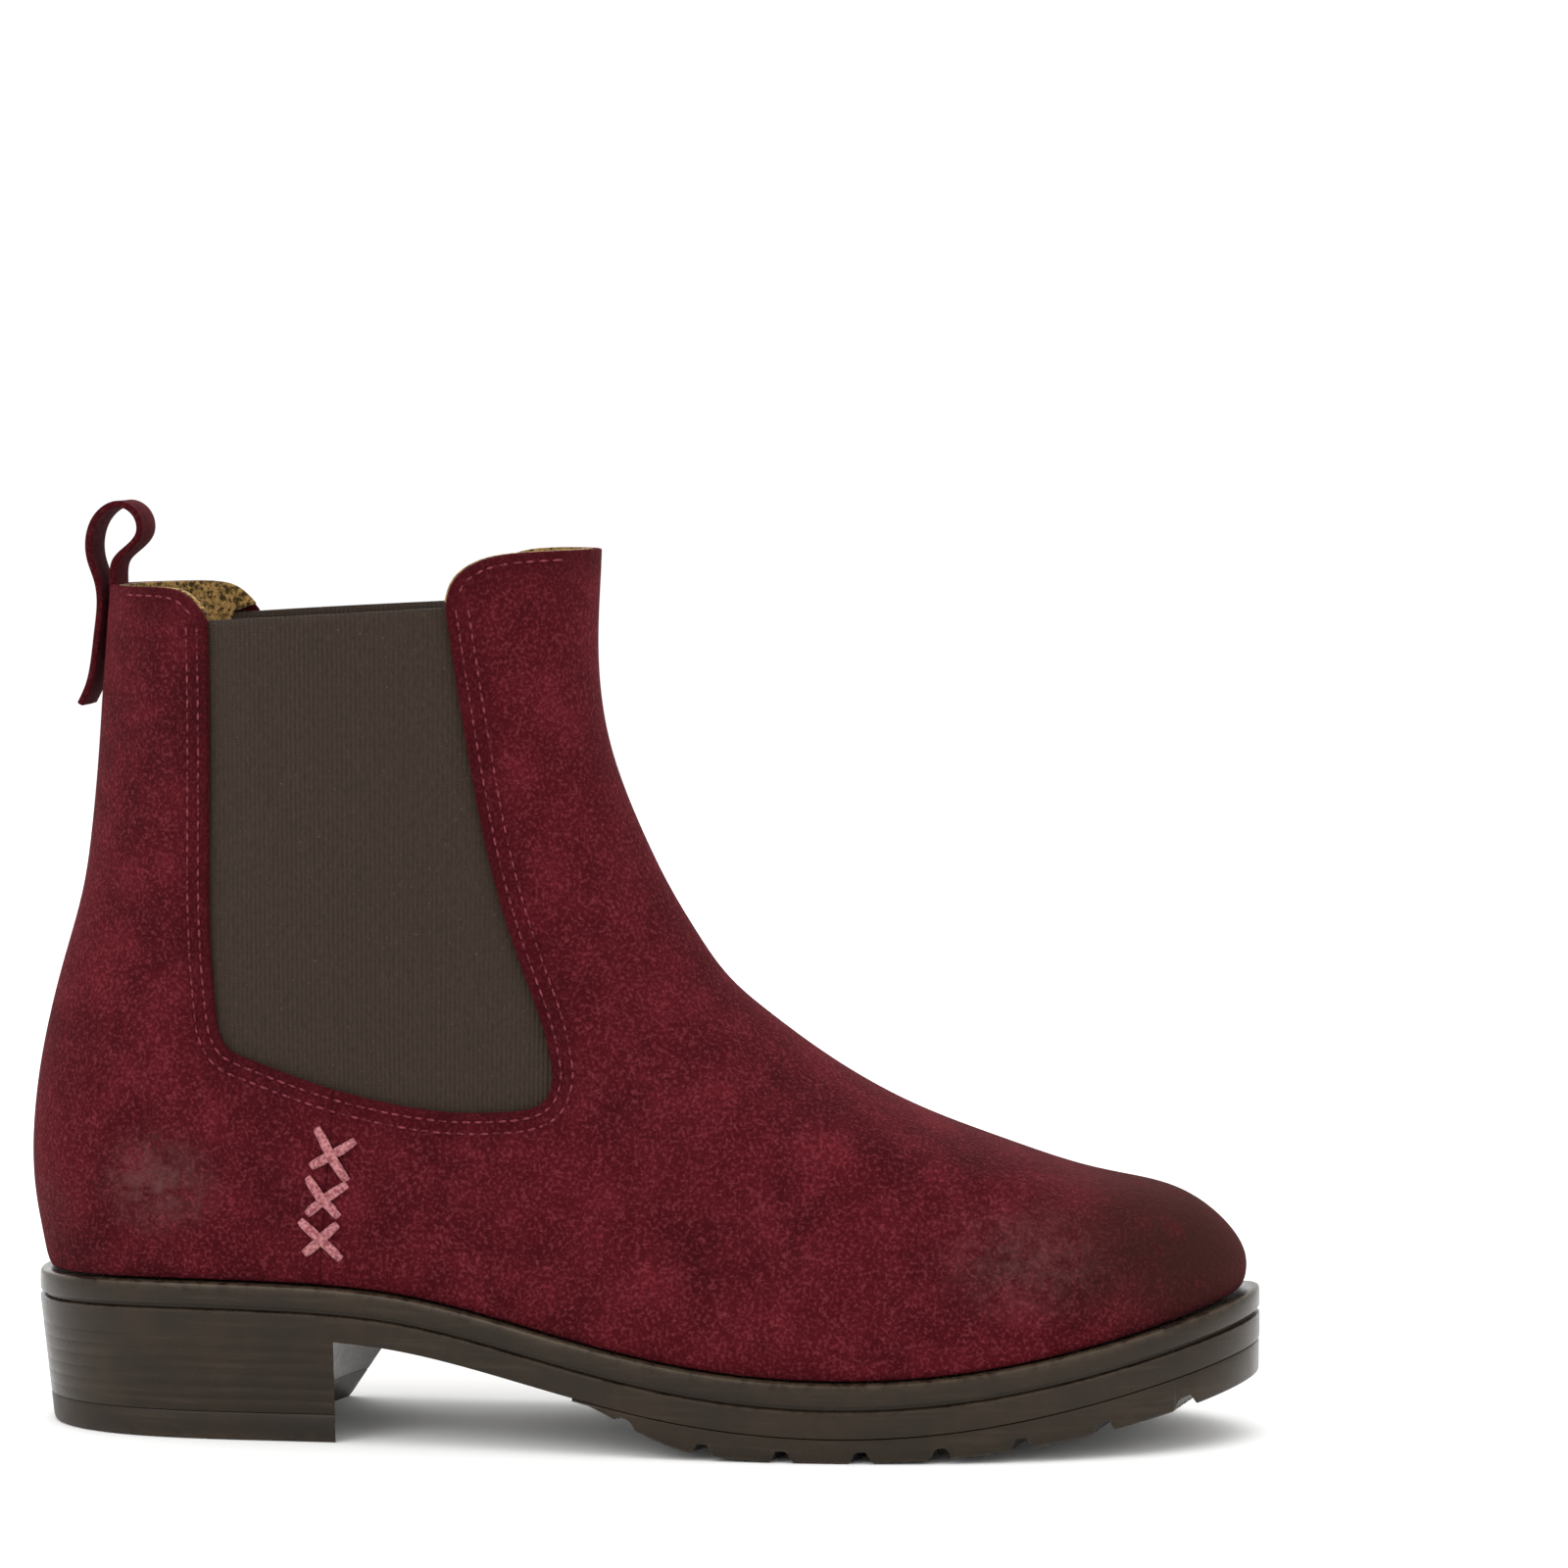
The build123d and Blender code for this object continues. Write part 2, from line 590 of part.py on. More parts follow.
def heel_form():
    """The heel's drawn-in outline with its hollow breast, over its whole height."""
    drawn = plan_prism(SOLE_OVERHANG - HEEL_TAPER, SOLE_OVERHANG, 0.0, HEEL_SEAT_HEIGHT)
    corner_y = 30.0
    radius = (corner_y ** 2 + HEEL_BREAST_HOLLOW ** 2) / (2 * HEEL_BREAST_HOLLOW)
    front = Box(FAR, FAR, FAR).moved(Location((HEEL_LENGTH + FAR / 2, 0, 0)))
    hollow = Cylinder(radius, FAR).moved(Location((HEEL_LENGTH - HEEL_BREAST_HOLLOW + radius, 0, 0)))
    return drawn - front - hollow


def heel_block():
    under_outsole = Box(FAR, FAR, FAR).moved(Location((0, 0, HEEL_LIFT_THICKNESS + FAR / 2)))
    body = heel_form() & under_outsole
    return less_nails(body - above_feather(OUTSOLE_BOTTOM))


def heel_lift():
    return one_solid(heel_form() & Box(FAR, FAR, HEEL_LIFT_THICKNESS).moved(
        Location((0, 0, HEEL_LIFT_THICKNESS / 2))))


def footbed_layer(boot, low, high):
    inside = boot.last(LINING_INSIDE - GLUE_LINE)
    return one_solid(inside & feather_slab(low, high))


def insole_board(boot):
    return less_nails(footbed_layer(boot, INSOLE_LOW, INSOLE_HIGH))


def shank_bar(grow=0.0):
    start = grade((52, 0))[0] - grow
    bar = Box(SHANK_LENGTH + 2 * grow, SHANK_WIDTH + 2 * grow, FAR)
    return bar.moved(Location((start + SHANK_LENGTH / 2 + grow, 0, 0)))


def shank():
    return one_solid(shank_bar() & feather_slab(GLUE_LINE, GLUE_LINE + SHANK_THICKNESS))


def bottom_filler():
    fill = plan_prism(-LASTING_MARGIN - GLUE_LINE)
    body = fill & feather_slab(GLUE_LINE, LINING_MARGIN_HIGH)
    return less_nails(body - shank_bar(GLUE_LINE))


def all_pieces():
    boot = Boot()
    ply = lining_block(boot)
    counter = counter_block()
    toe = toe_block()
    front_lining = ply & boot.strip_tool
    pieces = {
        "vamp": vamp(boot),
        "shaft_front": shaft_front(boot),
        "quarter_lateral": quarter(boot, -1),
        "quarter_medial": quarter(boot, 1),
        "gore_lateral": gore(boot, -1),
        "gore_medial": gore(boot, 1),
        "toe_puff": stiffener(boot, toe),
        "heel_counter": stiffener(boot, counter),
        "vamp_lining": lining(boot, ply - boot.seam_back - boot.strip_room, toe_block(220.0)),
        "quarter_lining": lining(boot, ply & boot.seam_back, counter.moved(Location((1, 0, 1)))),
        "shaft_front_lining": one_solid((boot.last(LINING_OUTSIDE) & front_lining) - boot.last(LINING_INSIDE)),
        "pull_loop": pull_loop(),
        "pull_loop_tail": pull_loop_tail(boot),
        "cross_stitch_lateral": cross_stitch(boot, -1),
        "cross_stitch_medial": cross_stitch(boot, 1),
        "midsole": midsole(),
        "outsole": outsole(),
        "forefoot_tread": forefoot_tread(),
        "heel_block": heel_block(),
        "heel_lift": heel_lift(),
        "heel_nails": Compound([nail.solid() for nail in heel_nails()]),
        "insole_board": insole_board(boot),
        "shank": shank(),
        "bottom_filler": bottom_filler(),
        "footbed_foam": footbed_layer(boot, FOOTBED_LOW, FOOTBED_HIGH),
        "sock_lining": footbed_layer(boot, SOCK_LOW, SOCK_HIGH),
    }
    return pieces


def main():
    pieces = all_pieces()
    bounds = Compound(list(pieces.values())).bounding_box()
    middle_x = (bounds.min.X + bounds.max.X) / 2
    middle_y = (bounds.min.Y + bounds.max.Y) / 2
    place = Location((-middle_x, -middle_y, -bounds.min.Z))
    print("origin in boot sizes:", round(middle_x, 3), round(middle_y, 3), round(bounds.min.Z, 3))
    os.makedirs("parts", exist_ok=True)
    for name, shape in pieces.items():
        export_step(shape.moved(place), f"parts/{name}.step")


main()
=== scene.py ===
import logging
import math
from collections.abc import Callable
from dataclasses import dataclass, field
from enum import Enum

import bmesh
import bpy
import numpy as np
from mathutils import Matrix, Vector


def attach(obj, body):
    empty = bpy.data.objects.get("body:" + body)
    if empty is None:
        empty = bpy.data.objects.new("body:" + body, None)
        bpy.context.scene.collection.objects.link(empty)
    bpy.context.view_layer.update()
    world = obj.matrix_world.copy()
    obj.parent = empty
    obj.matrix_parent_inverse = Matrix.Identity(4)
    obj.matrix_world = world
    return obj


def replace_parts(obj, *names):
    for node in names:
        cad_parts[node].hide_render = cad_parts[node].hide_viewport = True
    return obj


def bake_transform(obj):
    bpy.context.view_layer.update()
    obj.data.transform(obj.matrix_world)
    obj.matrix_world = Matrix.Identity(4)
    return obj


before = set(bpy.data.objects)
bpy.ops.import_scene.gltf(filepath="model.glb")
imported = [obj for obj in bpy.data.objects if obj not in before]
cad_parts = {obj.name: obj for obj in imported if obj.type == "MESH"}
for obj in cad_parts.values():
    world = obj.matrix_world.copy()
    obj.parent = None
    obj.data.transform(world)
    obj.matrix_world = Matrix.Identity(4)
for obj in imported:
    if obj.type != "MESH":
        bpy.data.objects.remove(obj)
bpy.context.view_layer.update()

logging.basicConfig(level=logging.INFO, format="%(name)s: %(message)s")
LOG = logging.getLogger("boot")

MM = 0.001
TURN = 2 * math.pi
Line = tuple[tuple[float, float], ...]

# The boot's own measure runs from the back of its outsole (x = 0), in millimetres. The frame's
# origin lies at this point of it.
FRAME_ORIGIN = np.array([136.176, -0.433, 0.0])

# Bodies that pieces ride on.
ROOT_BODY = "boot"


class Side(Enum):
    """The two sides of a right boot."""

    LATERAL = -1
    MEDIAL = 1


# ---------------------------------------------------------------- curves
# Distance between samples of an edge, in millimetres.
SAMPLE_SPACING = 0.8


def spline_weights(keys: np.ndarray, at: np.ndarray) -> np.ndarray:
    """Weights that read a natural cubic curve.

    Args:
        keys: the rising positions of the curve's known values.
        at: the positions to read.

    Returns:
        A row of weights for each position, one weight for each known value.
    """
    keys = np.asarray(keys, float)
    at = np.asarray(at, float)
    count = len(keys)
    step = np.diff(keys)
    system = np.eye(count)
    rises = np.zeros((count, count))
    for i in range(1, count - 1):
        system[i, i - 1:i + 2] = step[i - 1], 2 * (step[i - 1] + step[i]), step[i]
        rises[i, i - 1] = 6 / step[i - 1]
        rises[i, i] = -6 / step[i - 1] - 6 / step[i]
        rises[i, i + 1] = 6 / step[i]
    bends = np.linalg.solve(system, rises)
    low = np.clip(np.searchsorted(keys, at) - 1, 0, count - 2)
    width = step[low]
    ahead = keys[low + 1] - at
    behind = at - keys[low]
    weights = np.zeros((len(at), count))
    rows = np.arange(len(at))
    weights[rows, low] += ahead / width
    weights[rows, low + 1] += behind / width
    weights += ((ahead ** 3 / width - ahead * width) / 6)[:, None] * bends[low]
    weights += ((behind ** 3 / width - behind * width) / 6)[:, None] * bends[low + 1]
    return weights


def distances_along(line: np.ndarray) -> np.ndarray:
    """Distance along a sampled line to each of its samples."""
    return np.r_[0, np.cumsum(np.linalg.norm(np.diff(line, axis=0), axis=1))]


def smooth_run(points: Line, spacing: float = SAMPLE_SPACING) -> np.ndarray:
    """A smooth curve through side-view points, sampled evenly enough to cut along.

    Args:
        points: the points that the curve passes.
        spacing: the distance between samples, in millimetres.

    Returns:
        The samples, first and last point included.
    """
    known = np.array(points, float)
    chords = distances_along(known)
    count = max(2, int(chords[-1] / spacing) + 1)
    return spline_weights(chords, np.linspace(0, chords[-1], count)) @ known


def straight_run(points: Line, spacing: float = SAMPLE_SPACING) -> np.ndarray:
    """Straight lines between side-view points.

    Args:
        points: the corners of the line.
        spacing: the distance between samples, in millimetres.

    Returns:
        The samples, every corner included.
    """
    known = np.array(points, float)
    pieces = []
    for start, end in zip(known[:-1], known[1:]):
        count = max(2, int(np.linalg.norm(end - start) / spacing) + 1)
        pieces.append(start + (end - start) * np.linspace(0, 1, count)[:, None])
    return np.concatenate(pieces)


def moved_aside(line: np.ndarray, distance: float) -> np.ndarray:
    """Shift a line sideways.

    Args:
        line: its samples in side view, with x to the right and z up.
        distance: how far it goes to its own left, in millimetres.

    Returns:
        The shifted samples.
    """
    along = np.gradient(line, axis=0)
    along /= np.linalg.norm(along, axis=1, keepdims=True) + 1e-12
    return line + np.c_[-along[:, 1], along[:, 0]] * distance


def inside_outline(points: np.ndarray, outline: np.ndarray) -> np.ndarray:
    """Test points against a closed outline, by the even-odd rule.

    Args:
        points: side-view points.
        outline: the outline's corners.

    Returns:
        True for each point inside.
    """
    x, z = points[:, 0][:, None], points[:, 1][:, None]
    ax, az = outline[:, 0], outline[:, 1]
    bx, bz = np.roll(ax, -1), np.roll(az, -1)
    crosses = (az > z) != (bz > z)
    reach = ax + (z - az) * (bx - ax) / np.where(bz == az, 1e-12, bz - az)
    return (crosses & (x < reach)).sum(axis=1) % 2 == 1


def points_along(line: np.ndarray, reach: np.ndarray) -> np.ndarray:
    """Points of a sampled line at distances along it."""
    known = distances_along(line)
    return np.c_[np.interp(reach, known, line[:, 0]), np.interp(reach, known, line[:, 1])]


def nearest_on(points: np.ndarray, line: np.ndarray) -> tuple[np.ndarray, np.ndarray]:
    """The nearest place of a sampled line to each point.

    Args:
        points: side-view points.
        line: the samples, close to each other.

    Returns:
        The distances along the line to the nearest places, and how far off those are.
    """
    start, end = line[:-1], line[1:]
    run = end - start
    length = np.maximum((run ** 2).sum(axis=1), 1e-12)
    known = distances_along(line)
    reach = np.empty(len(points))
    far = np.empty(len(points))
    for i, point in enumerate(points):
        share = np.clip(((point - start) * run).sum(axis=1) / length, 0, 1)
        gaps = np.linalg.norm(start + run * share[:, None] - point, axis=1)
        pick = int(gaps.argmin())
        reach[i] = known[pick] + share[pick] * (known[pick + 1] - known[pick])
        far[i] = gaps[pick]
    return reach, far


# ---------------------------------------------------------------- the last
@dataclass(frozen=True)
class LastSection:
    """One level section of the last, from heel to toe, in millimetres.

    Its ends are points in side view. Its half widths are given at the quarters of its length.
    """

    share: float
    back: tuple[float, float]
    front: tuple[float, float]
    lateral: tuple[float, float, float, float, float]
    medial: tuple[float, float, float, float, float]


LAST_SECTIONS = (
    LastSection(0.00, (0.8, 34), (273.0, 27), (60, 38, 42, 51, 60), (60, 36, 29, 47, 60)),
    LastSection(0.16, (-2.6, 60), (270.5, 46), (60, 39, 38, 44, 50), (60, 37, 29, 42, 50)),
    LastSection(0.32, (0.6, 90), (232.0, 61.5), (52, 38, 35, 39, 48), (52, 37, 31, 34, 48)),
    LastSection(0.48, (7.0, 113), (176.0, 87.5), (43, 37, 34, 34, 36), (43, 36, 33, 32, 36)),
    LastSection(0.66, (11.0, 133), (139.5, 132), (36, 35, 34, 34, 34), (36, 34, 34, 34, 34)),
    LastSection(1.00, (15.9, 189), (128.5, 194), (34, 35, 34.5, 34, 33), (34, 35, 34.5, 34, 33)),
)
FEATHER_LINE = ((-12, 34.2), (20, 35.6), (60, 35.6), (88, 33.6), (120, 26.8), (152, 20.2),
                (183, 17.6), (215, 19.4), (248, 25.8), (290, 37.5))
TREAD_LINE = ((118, 13.5), (137, 5.6), (160, 0.9), (185, 0.0), (212, 1.1), (240, 5.0),
              (268, 11.5), (292, 18.5))


def height_along(line: Line, x: np.ndarray) -> np.ndarray:
    """Height of a side-view line at each x, in millimetres."""
    known = np.array(line, float)
    return spline_weights(known[:, 0], np.ravel(x)) @ known[:, 1]


@dataclass
class Last:
    """The outer form of the upper, read at an angle round it and a height along it.

    The angle is 0 at the heel, half a turn at the toe, and rises over the lateral side. The
    height is a distance along the form in millimetres, from the floor run-out upwards.
    """

    ring_count: int = 10
    toe_swing: float = 5.0
    floor_height: float = -10.5
    run_out: float = 12.0
    knots: np.ndarray = field(init=False)
    samples: dict[Side, tuple] = field(init=False, default_factory=dict)

    def __post_init__(self) -> None:
        """Measure the distance between the form's rings, which is its height scale."""
        rows = self.rows(np.linspace(0, TURN, 48, endpoint=False))
        steps = np.linalg.norm(np.diff(rows, axis=0), axis=2).mean(axis=1)
        self.knots = np.r_[0, np.cumsum(steps)]

    def rows(self, around: np.ndarray) -> np.ndarray:
        """Every ring of the form.

        Args:
            around: angles round it.

        Returns:
            The rings from the floor run-out to the one over the collar, each a point per angle.
        """
        keys = np.array([section.share for section in LAST_SECTIONS])
        shares = np.linspace(0, 1, self.ring_count)
        weights = spline_weights(keys, shares)
        back, front, lateral, medial = (
            weights @ np.array([getattr(section, part) for section in LAST_SECTIONS])
            for part in ("back", "front", "lateral", "medial"))
        along = (1 - np.cos(around)) / 2
        station = spline_weights(np.linspace(0, 1, 5), along)
        on_lateral = np.mod(around, TURN) < math.pi
        rings = []
        for i, share in enumerate(shares):
            half = np.where(on_lateral, station @ lateral[i], station @ medial[i])
            swing = self.toe_swing * max(0.0, 1 - 2 * share) * along ** 3
            x = back[i, 0] + (front[i, 0] - back[i, 0]) * along
            z = back[i, 1] + (front[i, 1] - back[i, 1]) * along
            rings.append(np.c_[x, swing - np.sin(around) * half, z])
        floor = rings[0].copy()
        floor[:, 2] = self.floor_height
        middle = rings[0].copy()
        middle[:, 2] = (middle[:, 2] + self.floor_height) / 2
        heel_step = np.linalg.norm(back[-1] - back[-2])
        top = rings[-1] + (rings[-1] - rings[-2]) * self.run_out / heel_step
        return np.array([floor, middle] + rings + [top])

    def skin(self, around: np.ndarray, height: np.ndarray) -> np.ndarray:
        """Points of the outer surface at angles round it and heights along it."""
        weights = spline_weights(self.knots, height)
        return np.einsum("pr,rpc->pc", weights, self.rows(around))

    def at(self, around: np.ndarray, height: np.ndarray, growth: np.ndarray | float) -> np.ndarray:
        """Points over the surface.

        Args:
            around: angles round the form.
            height: distances along it.
            growth: how far out of the surface each point stands, in millimetres.

        Returns:
            The points, in the boot's own millimetres.
        """
        turn, lift = 2e-3, 0.2
        points = self.skin(around, height)
        across = self.skin(around + turn, height) - self.skin(around - turn, height)
        upward = self.skin(around, height + lift) - self.skin(around, height - lift)
        normal = np.cross(across, upward)
        normal /= np.linalg.norm(normal, axis=1, keepdims=True)
        return points + normal * np.reshape(growth, (-1, 1))

    def feather_height(self, around: np.ndarray, lift: float = 0.0) -> np.ndarray:
        """Height along the form where it meets the sole.

        Args:
            around: angles round it.
            lift: how far over the sole to read, in millimetres.

        Returns:
            A height for each angle.
        """
        low = np.full(len(around), self.knots[0])
        high = np.full(len(around), self.knots[4])
        for _ in range(22):
            middle = (low + high) / 2
            points = self.skin(around, middle)
            over = points[:, 2] - height_along(FEATHER_LINE, points[:, 0]) - lift > 0
            high = np.where(over, middle, high)
            low = np.where(over, low, middle)
        return (low + high) / 2

    def plan(self, around: np.ndarray, growth: np.ndarray | float) -> np.ndarray:
        """The sole's outline in plan at angles round the form, grown outwards."""
        return self.at(around, np.full(len(around), 1.0), growth)[:, :2]

    def from_side_view(self, points: np.ndarray, side: Side) -> tuple[np.ndarray, np.ndarray]:
        """Find surface points that are known in side view.

        The nearest of a coarse grid of samples is moved by a few Newton steps.

        Args:
            points: x and z of each point, in millimetres.
            side: the side of the boot that they are on.

        Returns:
            The angle and the height of each.
        """
        if side not in self.samples:
            start = 0.0 if side is Side.LATERAL else math.pi
            angles = np.linspace(start + 0.02, start + math.pi - 0.02, 90)
            heights = np.linspace(self.knots[0], self.knots[-1], 110)
            grid = np.meshgrid(angles, heights)
            flat = [part.ravel() for part in grid]
            self.samples[side] = (flat[0], flat[1], self.skin(*flat)[:, [0, 2]])
        angles, heights, places = self.samples[side]
        pick = np.array([((places - p) ** 2).sum(axis=1).argmin() for p in points], int)
        around, height = angles[pick].copy(), heights[pick].copy()
        small_turn, small_lift = 1e-3, 0.1
        most_turn, most_lift = 0.2, 9.0
        for _ in range(7):
            here = self.skin(around, height)[:, [0, 2]]
            turn = (self.skin(around + small_turn, height)[:, [0, 2]] - here) / small_turn
            lift = (self.skin(around, height + small_lift)[:, [0, 2]] - here) / small_lift
            miss = points - here
            spread = turn[:, 0] * lift[:, 1] - turn[:, 1] * lift[:, 0]
            spread = np.where(np.abs(spread) < 1e-6, 1e-6, spread)
            step = (miss[:, 0] * lift[:, 1] - miss[:, 1] * lift[:, 0]) / spread
            around += np.clip(step, -most_turn, most_turn)
            step = (turn[:, 0] * miss[:, 1] - turn[:, 1] * miss[:, 0]) / spread
            height += np.clip(step, -most_lift, most_lift)
        return around, height


# ---------------------------------------------------------------- outlines of the upper, side view
GORE_BACK = ((44.0, 184.0), (44.3, 147.0), (45.0, 104.0), (46.2, 93.0))
GORE_CORNER_BACK = ((46.2, 93.0), (48.5, 88.6), (53.5, 86.2))
GORE_BOTTOM = ((53.5, 86.2), (71.0, 80.2), (86.5, 76.6), (102.0, 75.0), (114.5, 75.6))
GORE_CORNER_FRONT = ((114.5, 75.6), (121.0, 78.2), (122.6, 84.0))
GORE_FRONT = ((122.6, 84.0), (121.2, 90.5), (115.3, 107.0), (109.0, 126.6), (104.4, 148.0),
              (98.4, 187.0))
SEAM_TOP = (73.5, 79.45)
SEAM_FOOT = ((69.5, 34.0), (67.2, 8.0))
QUARTER_TOP = ((30.0, 191.2), (38.0, 190.0), (44.0, 184.0))
COLLAR_BACK = ((22.0, 191.2), (30.0, 191.2))
STRIP_TOP = ((98.4, 187.0), (100.2, 193.0), (105.5, 197.2), (114.0, 199.0), (124.0, 199.4))
# How far the elastic is tucked under the suede on its three hidden sides.
GORE_ALLOWANCE = 7.0
# Corners that close the outlines behind, below and in front of the boot.
BEHIND = ((-60.0, 191.2), (-60.0, 8.0))
BEFORE = ((180.0, 199.6), (400.0, 199.6), (400.0, 8.0))


def gore_line() -> np.ndarray:
    """The gore opening's edge, from its back top corner down, forward and up to the front."""
    runs = [smooth_run(run) for run in
            (GORE_BACK, GORE_CORNER_BACK, GORE_BOTTOM, GORE_CORNER_FRONT, GORE_FRONT)]
    return np.concatenate([runs[0]] + [run[1:] for run in runs[1:]])


GORE_LINE = gore_line()
SEAM_INDEX = int(np.linalg.norm(GORE_LINE - np.array(SEAM_TOP), axis=1).argmin())
SEAM_LINE = straight_run((tuple(GORE_LINE[SEAM_INDEX]), *SEAM_FOOT))
QUARTER_OUTLINE = np.concatenate([
    SEAM_LINE[::-1], GORE_LINE[:SEAM_INDEX][::-1], smooth_run(QUARTER_TOP)[::-1],
    straight_run((QUARTER_TOP[0], BEHIND[0])), BEHIND[1:]])
FRONT_OUTLINE = np.concatenate([
    SEAM_LINE[::-1], GORE_LINE[SEAM_INDEX:], smooth_run(STRIP_TOP),
    straight_run((STRIP_TOP[-1], BEFORE[0])), BEFORE[1:]])
TUCK_LINE = moved_aside(GORE_LINE, -GORE_ALLOWANCE)


def tuck_outline() -> np.ndarray:
    """Outline of the elastic with its hidden edges, closed along its visible top."""
    slope = (GORE_LINE[-1, 1] - GORE_LINE[0, 1]) / (GORE_LINE[-1, 0] - GORE_LINE[0, 0])
    line = TUCK_LINE.copy()
    for end in (0, -1):
        line[end, 1] = GORE_LINE[0, 1] + (line[end, 0] - GORE_LINE[0, 0]) * slope
    return line


TUCK_OUTLINE = tuck_outline()


# ---------------------------------------------------------------- mesh helpers
def to_frame(points: np.ndarray) -> np.ndarray:
    """Points in the boot's own millimetres as metres in the frame."""
    return (points - FRAME_ORIGIN) * MM


def place_vertices(bm: bmesh.types.BMesh, points: np.ndarray) -> None:
    """Put each vertex at its point, given in the boot's own millimetres."""
    for vertex, point in zip(bm.verts, to_frame(points)):
        vertex.co = point


def finished_object(name: str, bm: bmesh.types.BMesh, material: bpy.types.Material) -> bpy.types.Object:
    """Make an object of a bmesh, at the origin, shaded smooth.

    Args:
        name: the piece's name.
        bm: its mesh, which is freed.
        material: its finish.

    Returns:
        The new object.
    """
    mesh = bpy.data.meshes.new(name)
    bm.to_mesh(mesh)
    bm.free()
    mesh.materials.append(material)
    mesh.shade_smooth()
    piece = bpy.data.objects.new(name, mesh)
    bpy.context.scene.collection.objects.link(piece)
    LOG.info("%s: %d faces", name, len(mesh.polygons))
    return piece


def give_thickness(piece: bpy.types.Object, thickness: float, edge: float, offset: float = -1.0) -> None:
    """Give a sheet its thickness and softened edges with live modifiers.

    Args:
        piece: the sheet.
        thickness: its thickness in millimetres.
        edge: how far its cut edges are rounded, in millimetres; 0 leaves them square.
        offset: -1 to thicken it inwards, 0 to thicken it both ways.
    """
    solid = piece.modifiers.new("thickness", "SOLIDIFY")
    solid.thickness = thickness * MM
    solid.offset = offset
    solid.use_even_offset = True
    if edge:
        bevel = piece.modifiers.new("edge", "BEVEL")
        bevel.width = edge * MM
        bevel.segments = 2
        bevel.limit_method = "ANGLE"
        bevel.angle_limit = math.radians(50)


def turn_outwards(bm: bmesh.types.BMesh) -> None:
    """Merge doubles and make every face of a closed mesh point outwards."""
    bmesh.ops.remove_doubles(bm, verts=bm.verts[:], dist=1e-6)
    bmesh.ops.recalc_face_normals(bm, faces=bm.faces[:])


def turn_to_side(bm: bmesh.types.BMesh, side: Side) -> None:
    """Make the faces of an open sheet point out of its side of the boot."""
    bm.normal_update()
    if sum(face.normal.y for face in bm.faces) * side.value < 0:
        bmesh.ops.reverse_faces(bm, faces=bm.faces[:])


def store_edge_distance(piece: bpy.types.Object, distances: np.ndarray) -> None:
    """Store each vertex's distance to a cut edge, in millimetres, as the attribute "edge"."""
    attribute = piece.data.attributes.new("edge", "FLOAT", "POINT")
    attribute.data.foreach_set("value", distances.astype(np.float32))


def add_edge_distance(piece: bpy.types.Object, lines: list[np.ndarray]) -> None:
    """Measure and store how far each vertex is from the nearest cut edge in side view.

    Args:
        piece: the sheet.
        lines: samples of its cut edges.
    """
    points = np.array([vertex.co for vertex in piece.data.vertices]) / MM + FRAME_ORIGIN
    samples = np.concatenate([line[::3] for line in lines])
    blocks = np.array_split(points[:, [0, 2]], 10)
    store_edge_distance(piece, np.concatenate([
        np.linalg.norm(block[:, None] - samples[None], axis=2).min(axis=1) for block in blocks]))


